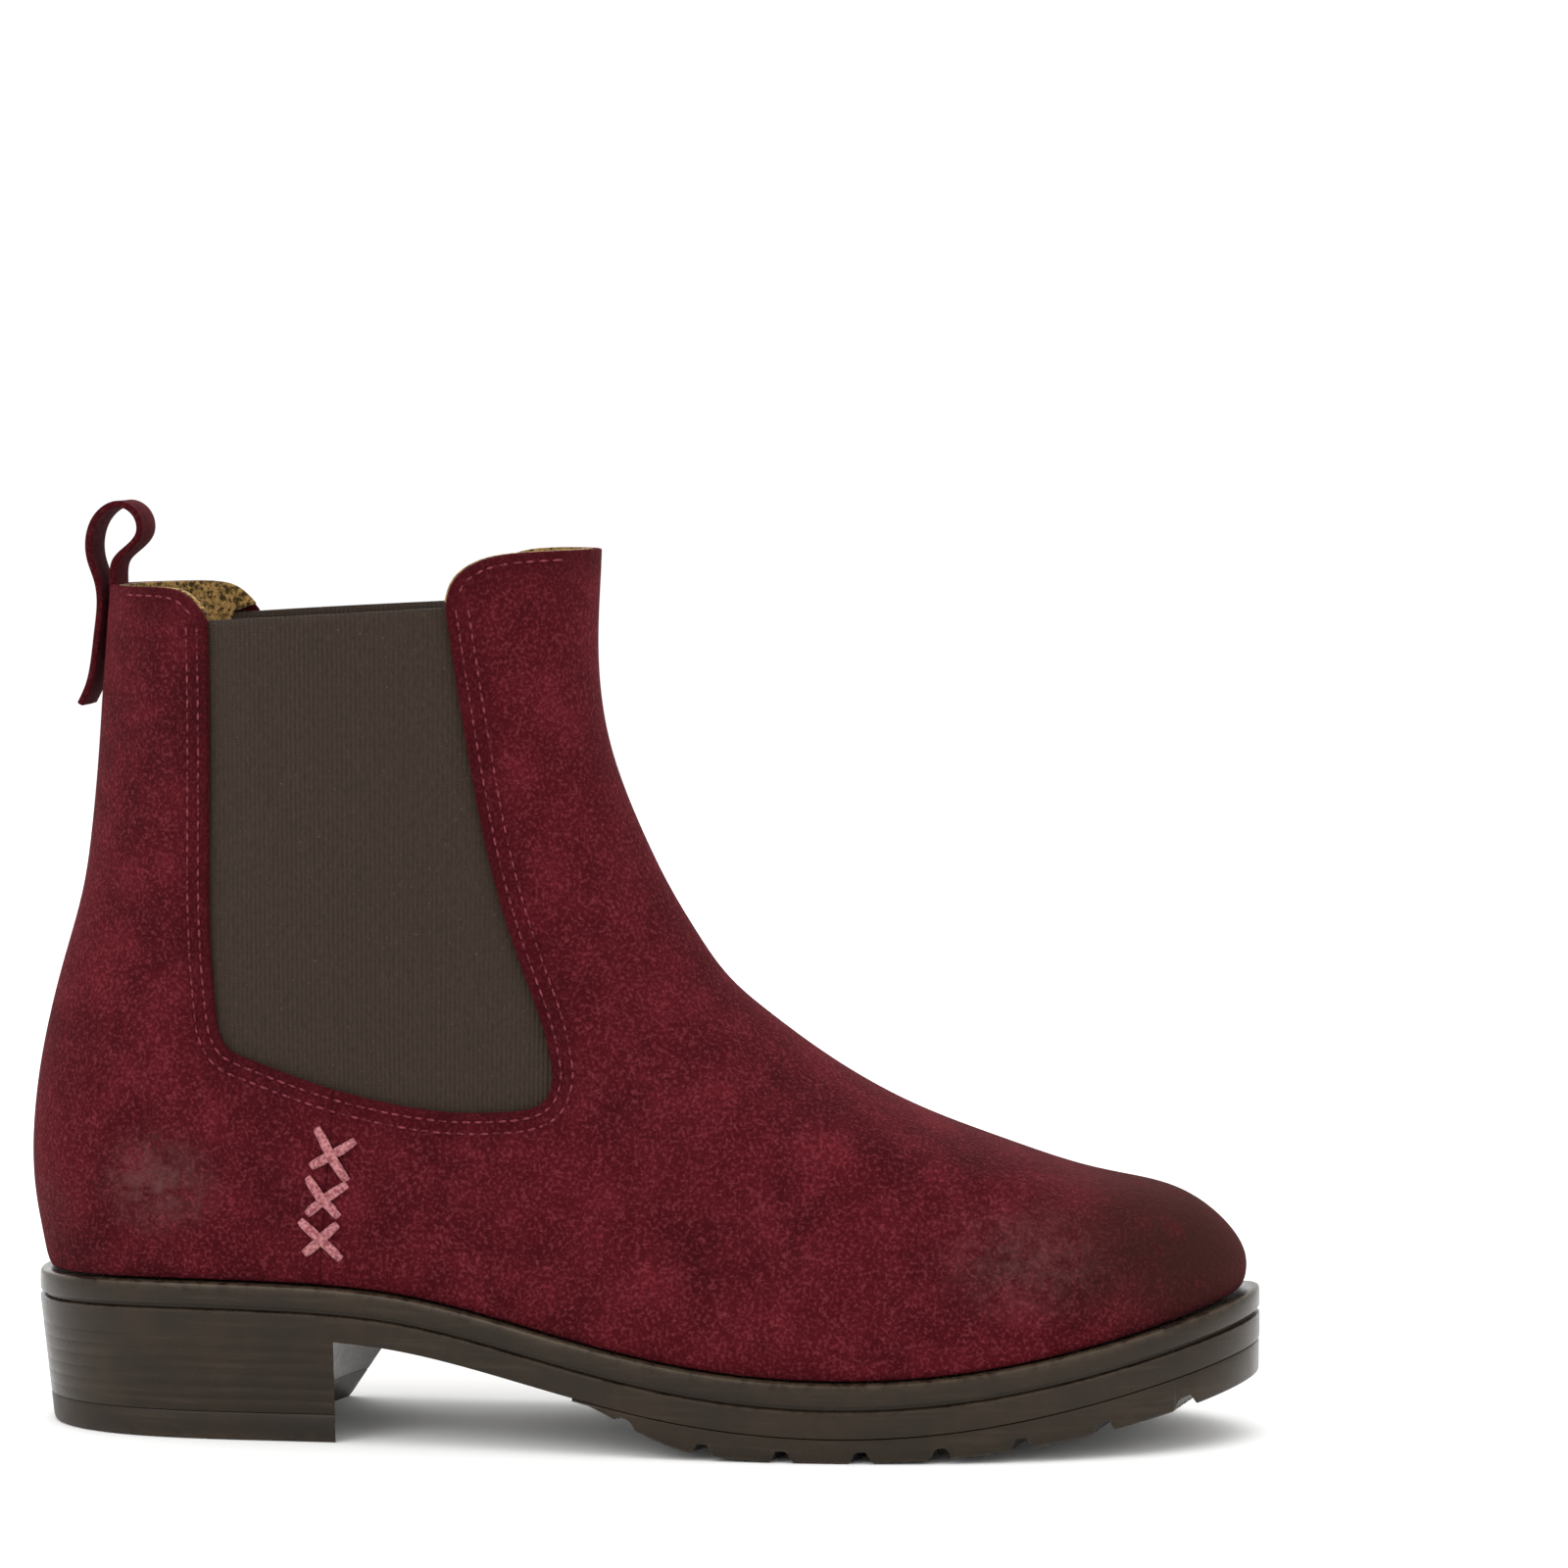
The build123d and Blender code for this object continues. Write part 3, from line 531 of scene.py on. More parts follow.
@dataclass
class Cut:
    """A grid laid over the last and cut to an outline in side view, with clean edges.

    The edges are the lines that the cut may follow, and a corner is a point of the first of
    them that a vertex must meet. The cell is about one face of the grid, in millimetres.
    """

    last: Last
    angles: tuple[float, float]
    columns: int
    rows: int
    growth: Callable[[np.ndarray, np.ndarray, np.ndarray], np.ndarray]
    keeps: Callable[[np.ndarray], np.ndarray]
    edges: list[np.ndarray]
    cell: float
    bottom_lift: float = 0.25
    corners: Line = ()
    edge_cells: float = 2.5
    corner_cells: float = 3.0
    merge_distance: float = 0.3
    longest_gap: float = 12.0
    even_rounds: int = 16
    ease_rounds: int = 4

    def mesh(self) -> bmesh.types.BMesh:
        """Lay the grid, cut it, draw its border onto the edges and place it on the last.

        Returns:
            The sheet's mesh, one face thick, facing out of the boot.
        """
        bm = bmesh.new()
        bmesh.ops.create_grid(bm, x_segments=self.columns, y_segments=self.rows, size=0.5)
        around_layer = bm.verts.layers.float.new("around")
        height_layer = bm.verts.layers.float.new("height")
        border_layer = bm.verts.layers.int.new("border")
        flat = np.array([vertex.co for vertex in bm.verts])
        around = self.angles[0] + (flat[:, 0] + 0.5) * (self.angles[1] - self.angles[0])
        low = self.last.feather_height(around, self.bottom_lift)
        share = flat[:, 1] + 0.5
        height = low + (self.last.knots[-1] - low) * share
        keep = self.keeps(self.last.skin(around, height)[:, [0, 2]])
        for i, vertex in enumerate(bm.verts):
            vertex[around_layer] = around[i]
            vertex[height_layer] = height[i]
            vertex[border_layer] = int(vertex.is_boundary)
        doomed = [vertex for vertex, kept in zip(bm.verts, keep) if not kept]
        bmesh.ops.delete(bm, geom=doomed, context="VERTS")
        self.drop_spurs(bm)
        self.draw_border(bm, around_layer, height_layer, border_layer)
        around = np.array([vertex[around_layer] for vertex in bm.verts])
        height = np.array([vertex[height_layer] for vertex in bm.verts])
        skin = self.last.skin(around, height)
        place_vertices(bm, self.last.at(around, height, self.growth(around, height, skin)))
        border = [vertex for vertex in bm.verts if vertex.is_boundary]
        bmesh.ops.remove_doubles(bm, verts=border, dist=self.merge_distance * MM)
        bm.normal_update()
        self.face_outwards(bm, skin)
        return bm

    def drop_spurs(self, bm: bmesh.types.BMesh) -> None:
        """Remove faces that hang on by one edge, and what is then loose."""
        for _ in range(3):
            spurs = [face for face in bm.faces if sum(edge.is_boundary for edge in face.edges) >= 3]
            if not spurs:
                break
            bmesh.ops.delete(bm, geom=spurs, context="FACES")
        loose = [vertex for vertex in bm.verts if not vertex.link_faces]
        bmesh.ops.delete(bm, geom=loose, context="VERTS")

    def draw_border(self, bm: bmesh.types.BMesh, around_layer: object, height_layer: object,
                    border_layer: object) -> None:
        """Move the cut border onto the outline and ease the grid behind it.

        Args:
            bm: the cut grid.
            around_layer: the mesh layer that holds each vertex's angle round the last.
            height_layer: the one that holds its height along the last.
            border_layer: the one that marks the grid's own border.
        """
        cut = [vertex for vertex in bm.verts if vertex.is_boundary and not vertex[border_layer]]
        beside = {other for vertex in cut for other in self.neighbours(vertex)}
        ends = [vertex for vertex in bm.verts if vertex.is_boundary and vertex[border_layer]
                and sum(edge.is_boundary for edge in vertex.link_edges) == 2 and vertex in beside]
        moving = cut + ends
        if not moving:
            return
        around = np.array([vertex[around_layer] for vertex in moving])
        height = np.array([vertex[height_layer] for vertex in moving])
        places = self.last.skin(around, height)[:, [0, 2]]
        found = [nearest_on(places, line) for line in self.edges]
        gaps = np.array([gap for _, gap in found])
        pick = gaps.argmin(axis=0)
        reach = np.array([found[p][0][i] for i, p in enumerate(pick)])
        near = gaps.min(axis=0) < self.edge_cells * self.cell
        wrapped = np.mod(around, TURN)
        pinned = ~near | (np.arange(len(moving)) >= len(cut))
        sides = {side: near & ((wrapped < math.pi) == (side is Side.LATERAL)) for side in Side}
        for chosen in sides.values():
            for corner in self.corners:
                away = np.linalg.norm(places - np.array(corner), axis=1)
                away[~chosen] = np.inf
                if away.min() < self.corner_cells * self.cell:
                    reach[away.argmin()] = nearest_on(np.array([corner]), self.edges[0])[0][0]
                    pinned[away.argmin()] = True
        self.space_evenly(moving, reach, pick, pinned)
        targets = np.empty_like(places)
        for p, line in enumerate(self.edges):
            targets[pick == p] = points_along(line, reach[pick == p])
        for side, chosen in sides.items():
            if not chosen.any():
                continue
            new_around, new_height = self.last.from_side_view(targets[chosen], side)
            for i, a, h in zip(np.flatnonzero(chosen), new_around, new_height):
                moving[i][around_layer] = a + round((around[i] - a) / TURN) * TURN
                if i < len(cut):
                    moving[i][height_layer] = h
        self.ease_behind(bm, moving, (around_layer, height_layer))

    def ease_behind(self, bm: bmesh.types.BMesh, moved: list[bmesh.types.BMVert],
                    layers: tuple[object, object]) -> None:
        """Spread the grid behind a moved border, in the mesh's own order.

        Args:
            bm: the cut grid.
            moved: the border's vertices.
            layers: the mesh layers that hold each vertex's angle and height.
        """
        close = {other for vertex in moved for other in self.neighbours(vertex)}
        close |= {other for vertex in close for other in self.neighbours(vertex)}
        band = [vertex for vertex in bm.verts
                if vertex in close and not vertex.is_boundary]
        for _ in range(self.ease_rounds):
            for vertex in band:
                others = self.neighbours(vertex)
                for layer in layers:
                    vertex[layer] = sum(other[layer] for other in others) / len(others)

    def space_evenly(self, moving: list[bmesh.types.BMVert], reach: np.ndarray, pick: np.ndarray,
                     pinned: np.ndarray) -> None:
        """Slide border vertices along their lines until they are evenly spaced.

        Args:
            moving: the border's vertices.
            reach: each one's distance along its line, which is changed in place.
            pick: the number of the line that each one lies on.
            pinned: which of them stay where they are.
        """
        order = {vertex: i for i, vertex in enumerate(moving)}
        links = []
        for i, vertex in enumerate(moving):
            others = [order.get(edge.other_vert(vertex)) for edge in vertex.link_edges if edge.is_boundary]
            same = [j for j in others if j is not None and pick[j] == pick[i]]
            links.append(same if len(same) == 2 and not pinned[i] else [])
        for _ in range(self.even_rounds):
            for i, pair in enumerate(links):
                if pair and abs(reach[pair[0]] - reach[pair[1]]) < self.longest_gap:
                    reach[i] = (reach[i] + reach[pair[0]] / 2 + reach[pair[1]] / 2) / 2

    @staticmethod
    def neighbours(vertex: bmesh.types.BMVert) -> list[bmesh.types.BMVert]:
        """Vertices that share an edge with this one."""
        return [edge.other_vert(vertex) for edge in vertex.link_edges]

    @staticmethod
    def face_outwards(bm: bmesh.types.BMesh, skin: np.ndarray) -> None:
        """Turn the sheet so that its faces look away from the boot's inside.

        Args:
            bm: the sheet, placed on the last.
            skin: the last's own points under it.
        """
        middle = Vector(to_frame(skin.mean(axis=0)[None])[0])
        face = max(bm.faces, key=lambda f: abs(f.calc_center_median().y - middle.y))
        inside = Vector((face.calc_center_median().x, 0, face.calc_center_median().z))
        if face.normal.dot(face.calc_center_median() - inside) < 0:
            bmesh.ops.reverse_faces(bm, faces=bm.faces[:])


# ---------------------------------------------------------------- materials
# Distance between two bands of a wave texture at scale 1.
WAVE_PERIOD = TURN / 20


def linear(code: str) -> tuple[float, float, float, float]:
    """An sRGB hex colour as opaque linear values."""
    parts = [int(code[i:i + 2], 16) / 255 for i in (1, 3, 5)]
    curve = [c / 12.92 if c <= 0.04045 else ((c + 0.055) / 1.055) ** 2.4 for c in parts]
    return curve[0], curve[1], curve[2], 1.0


def add_node(tree: bpy.types.NodeTree, kind: str, inputs: dict, output: int | str = 0,
             **settings: object) -> bpy.types.NodeSocket:
    """Add a shader node.

    Args:
        tree: the material's node tree.
        kind: the node's type.
        inputs: socket name or number to a value, or to the output that feeds it.
        output: name or number of the output to hand back.
        settings: attributes of the node itself.

    Returns:
        The chosen output of the new node.
    """
    node = tree.nodes.new(kind)
    for name, value in settings.items():
        setattr(node, name, value)
    for socket, value in inputs.items():
        if isinstance(value, bpy.types.NodeSocket):
            tree.links.new(value, node.inputs[socket])
        else:
            node.inputs[socket].default_value = value
    return node.outputs[output]


@dataclass(frozen=True)
class WornPatch:
    """A rubbed or browned place, in the boot's own millimetres, broken into small clouds."""

    colour: str
    centre: tuple[float, float, float]
    size: tuple[float, float, float]
    amount: float
    core: float
    cloud: float
    cloud_detail: float
    cloud_range: tuple[float, float]


@dataclass(frozen=True)
class Finish:
    """What every material of the boot shares. Pattern sizes are in millimetres."""

    name: str

    def start(self) -> tuple[bpy.types.Material, bpy.types.NodeTree, bpy.types.Node, bpy.types.NodeSocket]:
        """Start a material.

        Returns:
            The material, its node tree, its shader, and the place on the piece in millimetres.
        """
        material = bpy.data.materials.new(self.name)
        material.use_nodes = True
        tree = material.node_tree
        place = add_node(tree, "ShaderNodeTexCoord", {}, "Object")
        in_mm = add_node(tree, "ShaderNodeVectorMath", {0: place, 1: (1 / MM, 1 / MM, 1 / MM)},
                         operation="MULTIPLY")
        return material, tree, tree.nodes["Principled BSDF"], in_mm

    @staticmethod
    def blotches(tree: bpy.types.NodeTree, place: bpy.types.NodeSocket, width: float,
                 levels: tuple[float, float], detail: float = 3.0) -> bpy.types.NodeSocket:
        """Soft blotches of one width.

        Args:
            tree: the material's node tree.
            place: the place on the piece, in millimetres.
            width: how wide a blotch is, in millimetres.
            levels: the noise where blotches begin and where they are full.
            detail: how many finer sizes break their edges.

        Returns:
            A share, 0 between the blotches and 1 inside them.
        """
        noise = add_node(tree, "ShaderNodeTexNoise",
                         {"Vector": place, "Scale": 1 / width, "Detail": detail, "Roughness": 0.6})
        return add_node(tree, "ShaderNodeMapRange", {0: noise, 1: levels[0], 2: levels[1]},
                        interpolation_type="SMOOTHSTEP")

    @staticmethod
    def worn_share(tree: bpy.types.NodeTree, place: bpy.types.NodeSocket,
                   patch: WornPatch) -> bpy.types.NodeSocket:
        """A soft-edged patch round a place of the boot, broken into clouds.

        Args:
            tree: the material's node tree.
            place: the place on the piece, in millimetres.
            patch: where the patch is, how large and how strong.

        Returns:
            A share, which falls from the patch's amount to 0 at its rim.
        """
        centre = tuple(np.array(patch.centre) - FRAME_ORIGIN)
        away = add_node(tree, "ShaderNodeVectorMath", {0: place, 1: centre}, operation="SUBTRACT")
        shrunk = add_node(tree, "ShaderNodeVectorMath", {0: away, 1: patch.size}, operation="DIVIDE")
        reach = add_node(tree, "ShaderNodeVectorMath", {0: shrunk}, "Value", operation="LENGTH")
        spot = add_node(tree, "ShaderNodeMapRange",
                        {0: reach, 1: patch.core, 2: 1.1, 3: patch.amount, 4: 0.0},
                        interpolation_type="SMOOTHSTEP")
        clouds = Finish.blotches(tree, place, patch.cloud, patch.cloud_range, patch.cloud_detail)
        return add_node(tree, "ShaderNodeMath", {0: spot, 1: clouds}, operation="MULTIPLY")

    @staticmethod
    def layered(tree: bpy.types.NodeTree, ground: str,
                layers: list[tuple[bpy.types.NodeSocket, str]]) -> bpy.types.NodeSocket:
        """Lay colours over a ground colour.

        Args:
            tree: the material's node tree.
            ground: the lowest colour.
            layers: the share and the colour of each layer, from the lowest up.

        Returns:
            The finished colour.
        """
        colour = linear(ground)
        for share, over in layers:
            colour = add_node(tree, "ShaderNodeMix", {0: share, 6: colour, 7: linear(over)}, 2,
                              data_type="RGBA")
        return colour

    @staticmethod
    def dress(tree: bpy.types.NodeTree, shader: bpy.types.Node, colour: bpy.types.NodeSocket,
              relief: tuple[bpy.types.NodeSocket, float, float], sockets: dict) -> None:
        """Give the shader its colour, its relief and the values that are alike all over.

        Args:
            tree: the material's node tree.
            shader: the material's shader.
            colour: the base colour.
            relief: the height pattern, its depth in millimetres and its strength.
            sockets: socket name to value.
        """
        height, depth, strength = relief
        bump = add_node(tree, "ShaderNodeBump",
                        {"Height": height, "Distance": depth * MM, "Strength": strength})
        tree.links.new(colour, shader.inputs["Base Color"])
        tree.links.new(bump, shader.inputs["Normal"])
        for socket, value in sockets.items():
            shader.inputs[socket].default_value = value


@dataclass(frozen=True)
class Suede(Finish):
    """Split suede, dyed burgundy and brushed: matt, mottled by its nap, browned at the toe.

    Real nap fibres are 0.1 to 0.2 mm wide. Theirs is drawn as a 0.8 mm grain, so that it shows.
    """

    deep: str = "#2e060b"
    body: str = "#460c13"
    raised: str = "#5c1720"
    fibre: str = "#8c424a"
    sheen: str = "#d8606a"
    dye_width: float = 30.0
    nap_width: float = 12.0
    fibre_width: float = 0.8
    tuft_width: float = 1.6
    edge_reach: float = 9.0
    worn: tuple[WornPatch, ...] = (
        WornPatch("#2c1915", (282, 2, 50), (62, 90, 34), 0.9, 0.3, 9.0, 3.0, (0.1, 0.5)),
        WornPatch("#5d4140", (31, -36, 58), (19, 16, 15), 0.6, 0.1, 3.0, 6.0, (0.25, 0.75)),
        WornPatch("#5d4140", (8, 0, 52), (16, 30, 14), 0.3, 0.1, 3.0, 6.0, (0.25, 0.75)),
        WornPatch("#5d4140", (228, -34, 44), (24, 22, 16), 0.35, 0.1, 3.0, 6.0, (0.25, 0.75)))

    def build(self) -> bpy.types.Material:
        """Build the material: nap patches, fibres, darker cut edges, a browned toe and scuffs."""
        material, tree, shader, place = self.start()
        fibres = add_node(tree, "ShaderNodeTexNoise", {"Vector": place, "Scale": 1 / self.fibre_width,
                                                       "Detail": 5.0, "Roughness": 0.6})
        tufts = add_node(tree, "ShaderNodeTexNoise", {"Vector": place, "Scale": 1 / self.tuft_width,
                                                      "Detail": 3.0, "Roughness": 0.6})
        edge = add_node(tree, "ShaderNodeAttribute", {}, "Fac", attribute_name="edge")
        hollows = add_node(tree, "ShaderNodeMapRange", {0: fibres, 1: 0.56, 2: 0.26, 4: 0.7})
        tips = add_node(tree, "ShaderNodeMapRange", {0: fibres, 1: 0.5, 2: 0.82, 4: 0.5})
        # Darker towards cut edges. The pull strap is given one near distance all over, so on it this
        # darkening is painted shade.
        near_edge = add_node(tree, "ShaderNodeMapRange", {0: edge, 2: self.edge_reach, 3: 0.7, 4: 0.0})
        layers = [(self.blotches(tree, place, self.dye_width, (0.2, 0.72)), self.body),
                  (self.blotches(tree, place, self.nap_width, (0.36, 0.86), 6.0), self.raised),
                  (hollows, self.deep), (tips, self.fibre), (near_edge, self.deep)]
        layers += [(self.worn_share(tree, place, patch), patch.colour) for patch in self.worn]
        relief = add_node(tree, "ShaderNodeMath", {0: fibres, 1: tufts}, operation="ADD")
        self.dress(tree, shader, self.layered(tree, self.deep, layers), (relief, 0.42, 0.9),
                   {"Roughness": 0.95, "Specular IOR Level": 0.06, "Sheen Weight": 0.1,
                    "Sheen Roughness": 0.4, "Sheen Tint": linear(self.sheen)})
        return material


@dataclass(frozen=True)
class Elastic(Finish):
    """Woven elastic webbing: dark cotton over rubber cords, in fine upright ribs."""

    # Ground colour: the darker yarn, and the painted shade in the weave's hollows.
    shade: str = "#1e1611"
    thread: str = "#34271e"
    fleck: str = "#64523d"
    rib: float = 1.05
    pick: float = 0.7
    yarn: float = 0.6

    def build(self) -> bpy.types.Material:
        """Build the material: lighter yarn in blotches, flecks of lighter cotton, and ribs and picks whose
        raised parts are drawn lighter than their hollows, which is painted shade.
        """
        material, tree, shader, place = self.start()
        ribs = add_node(tree, "ShaderNodeTexWave", {"Vector": place, "Scale": WAVE_PERIOD / self.rib},
                        "Fac", bands_direction="X")
        picks = add_node(tree, "ShaderNodeTexWave",
                         {"Vector": place, "Scale": WAVE_PERIOD / self.pick, "Distortion": 0.6,
                          "Detail Scale": 2.0}, "Fac", bands_direction="Z")
        weave = add_node(tree, "ShaderNodeMath", {0: picks, 1: 0.35, 2: ribs}, operation="MULTIPLY_ADD")
        upright = add_node(tree, "ShaderNodeVectorMath", {0: place, 1: (1.0, 1.0, 0.4)},
                           operation="MULTIPLY")
        # The weave's raised parts, which the bump also lifts, take more of the thread colour: painted
        # shade in the hollows between ribs and picks.
        raised = add_node(tree, "ShaderNodeMapRange", {0: weave, 1: 0.0, 2: 1.3},
                          interpolation_type="SMOOTHSTEP")
        yarn = self.blotches(tree, upright, self.yarn, (0.1, 0.95), 4.0)
        lit_crests_and_yarn = add_node(tree, "ShaderNodeMath", {0: raised, 1: 0.35, 2: yarn}, operation="MULTIPLY_ADD",
                       use_clamp=True)
        flecks = self.blotches(tree, place, self.yarn, (0.68, 0.8), 2.0)
        colour = self.layered(tree, self.shade, [(lit_crests_and_yarn, self.thread), (flecks, self.fleck)])
        self.dress(tree, shader, colour, (weave, 0.2, 0.7),
                   {"Roughness": 0.85, "Specular IOR Level": 0.2, "Sheen Weight": 0.1})
        return material


@dataclass(frozen=True)
class MouldedRubber(Finish):
    """Compression-moulded rubber, dark brown and buffed: satin, with faint level buffing lines.

    The warm tint of its gloss stands for the wax that the buffing leaves.
    """

    body: str = "#150f0b"
    # Colour of the paler rims: partly rubbed rubber, partly a painted highlight along the sole's rounded
    # top edges.
    worn: str = "#3c3228"
    dust: str = "#211810"
    streak: str = "#322a21"
    gloss: str = "#e6d8c8"
    roughness: float = 0.24
    line: float = 1.4
    dust_width: float = 14.0
    rub_width: float = 3.0
    cloud_width: float = 6.0
    pore_width: float = 0.5

    def build(self) -> bpy.types.Material:
        """Build the material: level buffing lines, dusty patches, and paler rims that are partly rubbed
        rubber and partly a painted highlight along the top edges.
        """
        material, tree, shader, place = self.start()
        level = add_node(tree, "ShaderNodeVectorMath", {0: place, 1: (0.06, 0.06, 1.0)},
                         operation="MULTIPLY")
        lines = add_node(tree, "ShaderNodeTexNoise", {"Vector": level, "Scale": 1 / self.line,
                                                      "Detail": 3.0, "Roughness": 0.6})
        clouds = add_node(tree, "ShaderNodeTexNoise", {"Vector": place, "Scale": 1 / self.cloud_width,
                                                       "Detail": 3.0, "Roughness": 0.6})
        pores = add_node(tree, "ShaderNodeTexNoise", {"Vector": place, "Scale": 1 / self.pore_width,
                                                      "Detail": 3.0, "Roughness": 0.6})
        streaks = add_node(tree, "ShaderNodeMapRange", {0: lines, 1: 0.5, 2: 0.75, 4: 0.4},
                           interpolation_type="SMOOTHSTEP")
        # Paler rims, broken into blotches: partly rubbing, partly a painted highlight on the rounded top
        # edges.
        rim = add_node(tree, "ShaderNodeAttribute", {}, "Fac", attribute_name="rim")
        rubbed = add_node(tree, "ShaderNodeMath",
                          {0: rim, 1: self.blotches(tree, place, self.rub_width, (0.3, 0.6))},
                          operation="MULTIPLY")
        dusty = self.blotches(tree, place, self.dust_width, (0.35, 0.75), 4.0)
        colour = self.layered(tree, self.body,
                              [(dusty, self.dust), (streaks, self.streak), (rubbed, self.worn)])
        rough = add_node(tree, "ShaderNodeMapRange",
                         {0: clouds, 3: self.roughness - 0.08, 4: self.roughness + 0.16})
        tree.links.new(rough, shader.inputs["Roughness"])
        grain = add_node(tree, "ShaderNodeMath", {0: lines, 1: 0.5, 2: pores}, operation="MULTIPLY_ADD")
        self.dress(tree, shader, colour, (grain, 0.08, 0.6),
                   {"Specular IOR Level": 0.38, "Specular Tint": linear(self.gloss)})
        return material


@dataclass(frozen=True)
class Cloth(Finish):
    """Brushed or woven textile: dull, with two colours in small blotches.

    A real weave of about 0.2 mm is drawn at 0.3 to 0.5 mm, so that it shows.
    """

    ground: str = "#a9864f"
    blot: str = "#37280f"
    blotch: float = 1.1
    thread: float = 0.5
    sheen: float = 0.1

    def build(self) -> bpy.types.Material:
        """Build the material: blotches over a fine weave."""
        material, tree, shader, place = self.start()
        weave = add_node(tree, "ShaderNodeTexNoise", {"Vector": place, "Scale": 1 / self.thread,
                                                      "Detail": 2.0, "Roughness": 0.6})
        dark = add_node(tree, "ShaderNodeMapRange", {0: weave, 1: 0.45, 2: 0.7, 4: 0.5},
                        interpolation_type="SMOOTHSTEP")
        spots = self.blotches(tree, place, self.blotch, (0.4, 0.62), 4.0)
        colour = self.layered(tree, self.ground, [(spots, self.blot), (dark, self.blot)])
        self.dress(tree, shader, colour, (weave, 0.2, 0.7),
                   {"Roughness": 0.9, "Specular IOR Level": 0.12, "Sheen Weight": self.sheen})
        return material


@dataclass(frozen=True)
class PlainStock(Finish):
    """A plain inner stock, such as board, cork, foam or steel, with its grain."""

    body: str
    grain_colour: str
    grain: float
    roughness: float
    metallic: float = 0.0

    def build(self) -> bpy.types.Material:
        """Build the material: one ground colour broken by its grain."""
        material, tree, shader, place = self.start()
        grain = add_node(tree, "ShaderNodeTexNoise", {"Vector": place, "Scale": 1 / self.grain,
                                                      "Detail": 4.0, "Roughness": 0.6})
        share = add_node(tree, "ShaderNodeMapRange", {0: grain, 1: 0.4, 2: 0.65},
                         interpolation_type="SMOOTHSTEP")
        self.dress(tree, shader, self.layered(tree, self.body, [(share, self.grain_colour)]),
                   (grain, 0.1, 0.5), {"Roughness": self.roughness, "Metallic": self.metallic})
        return material


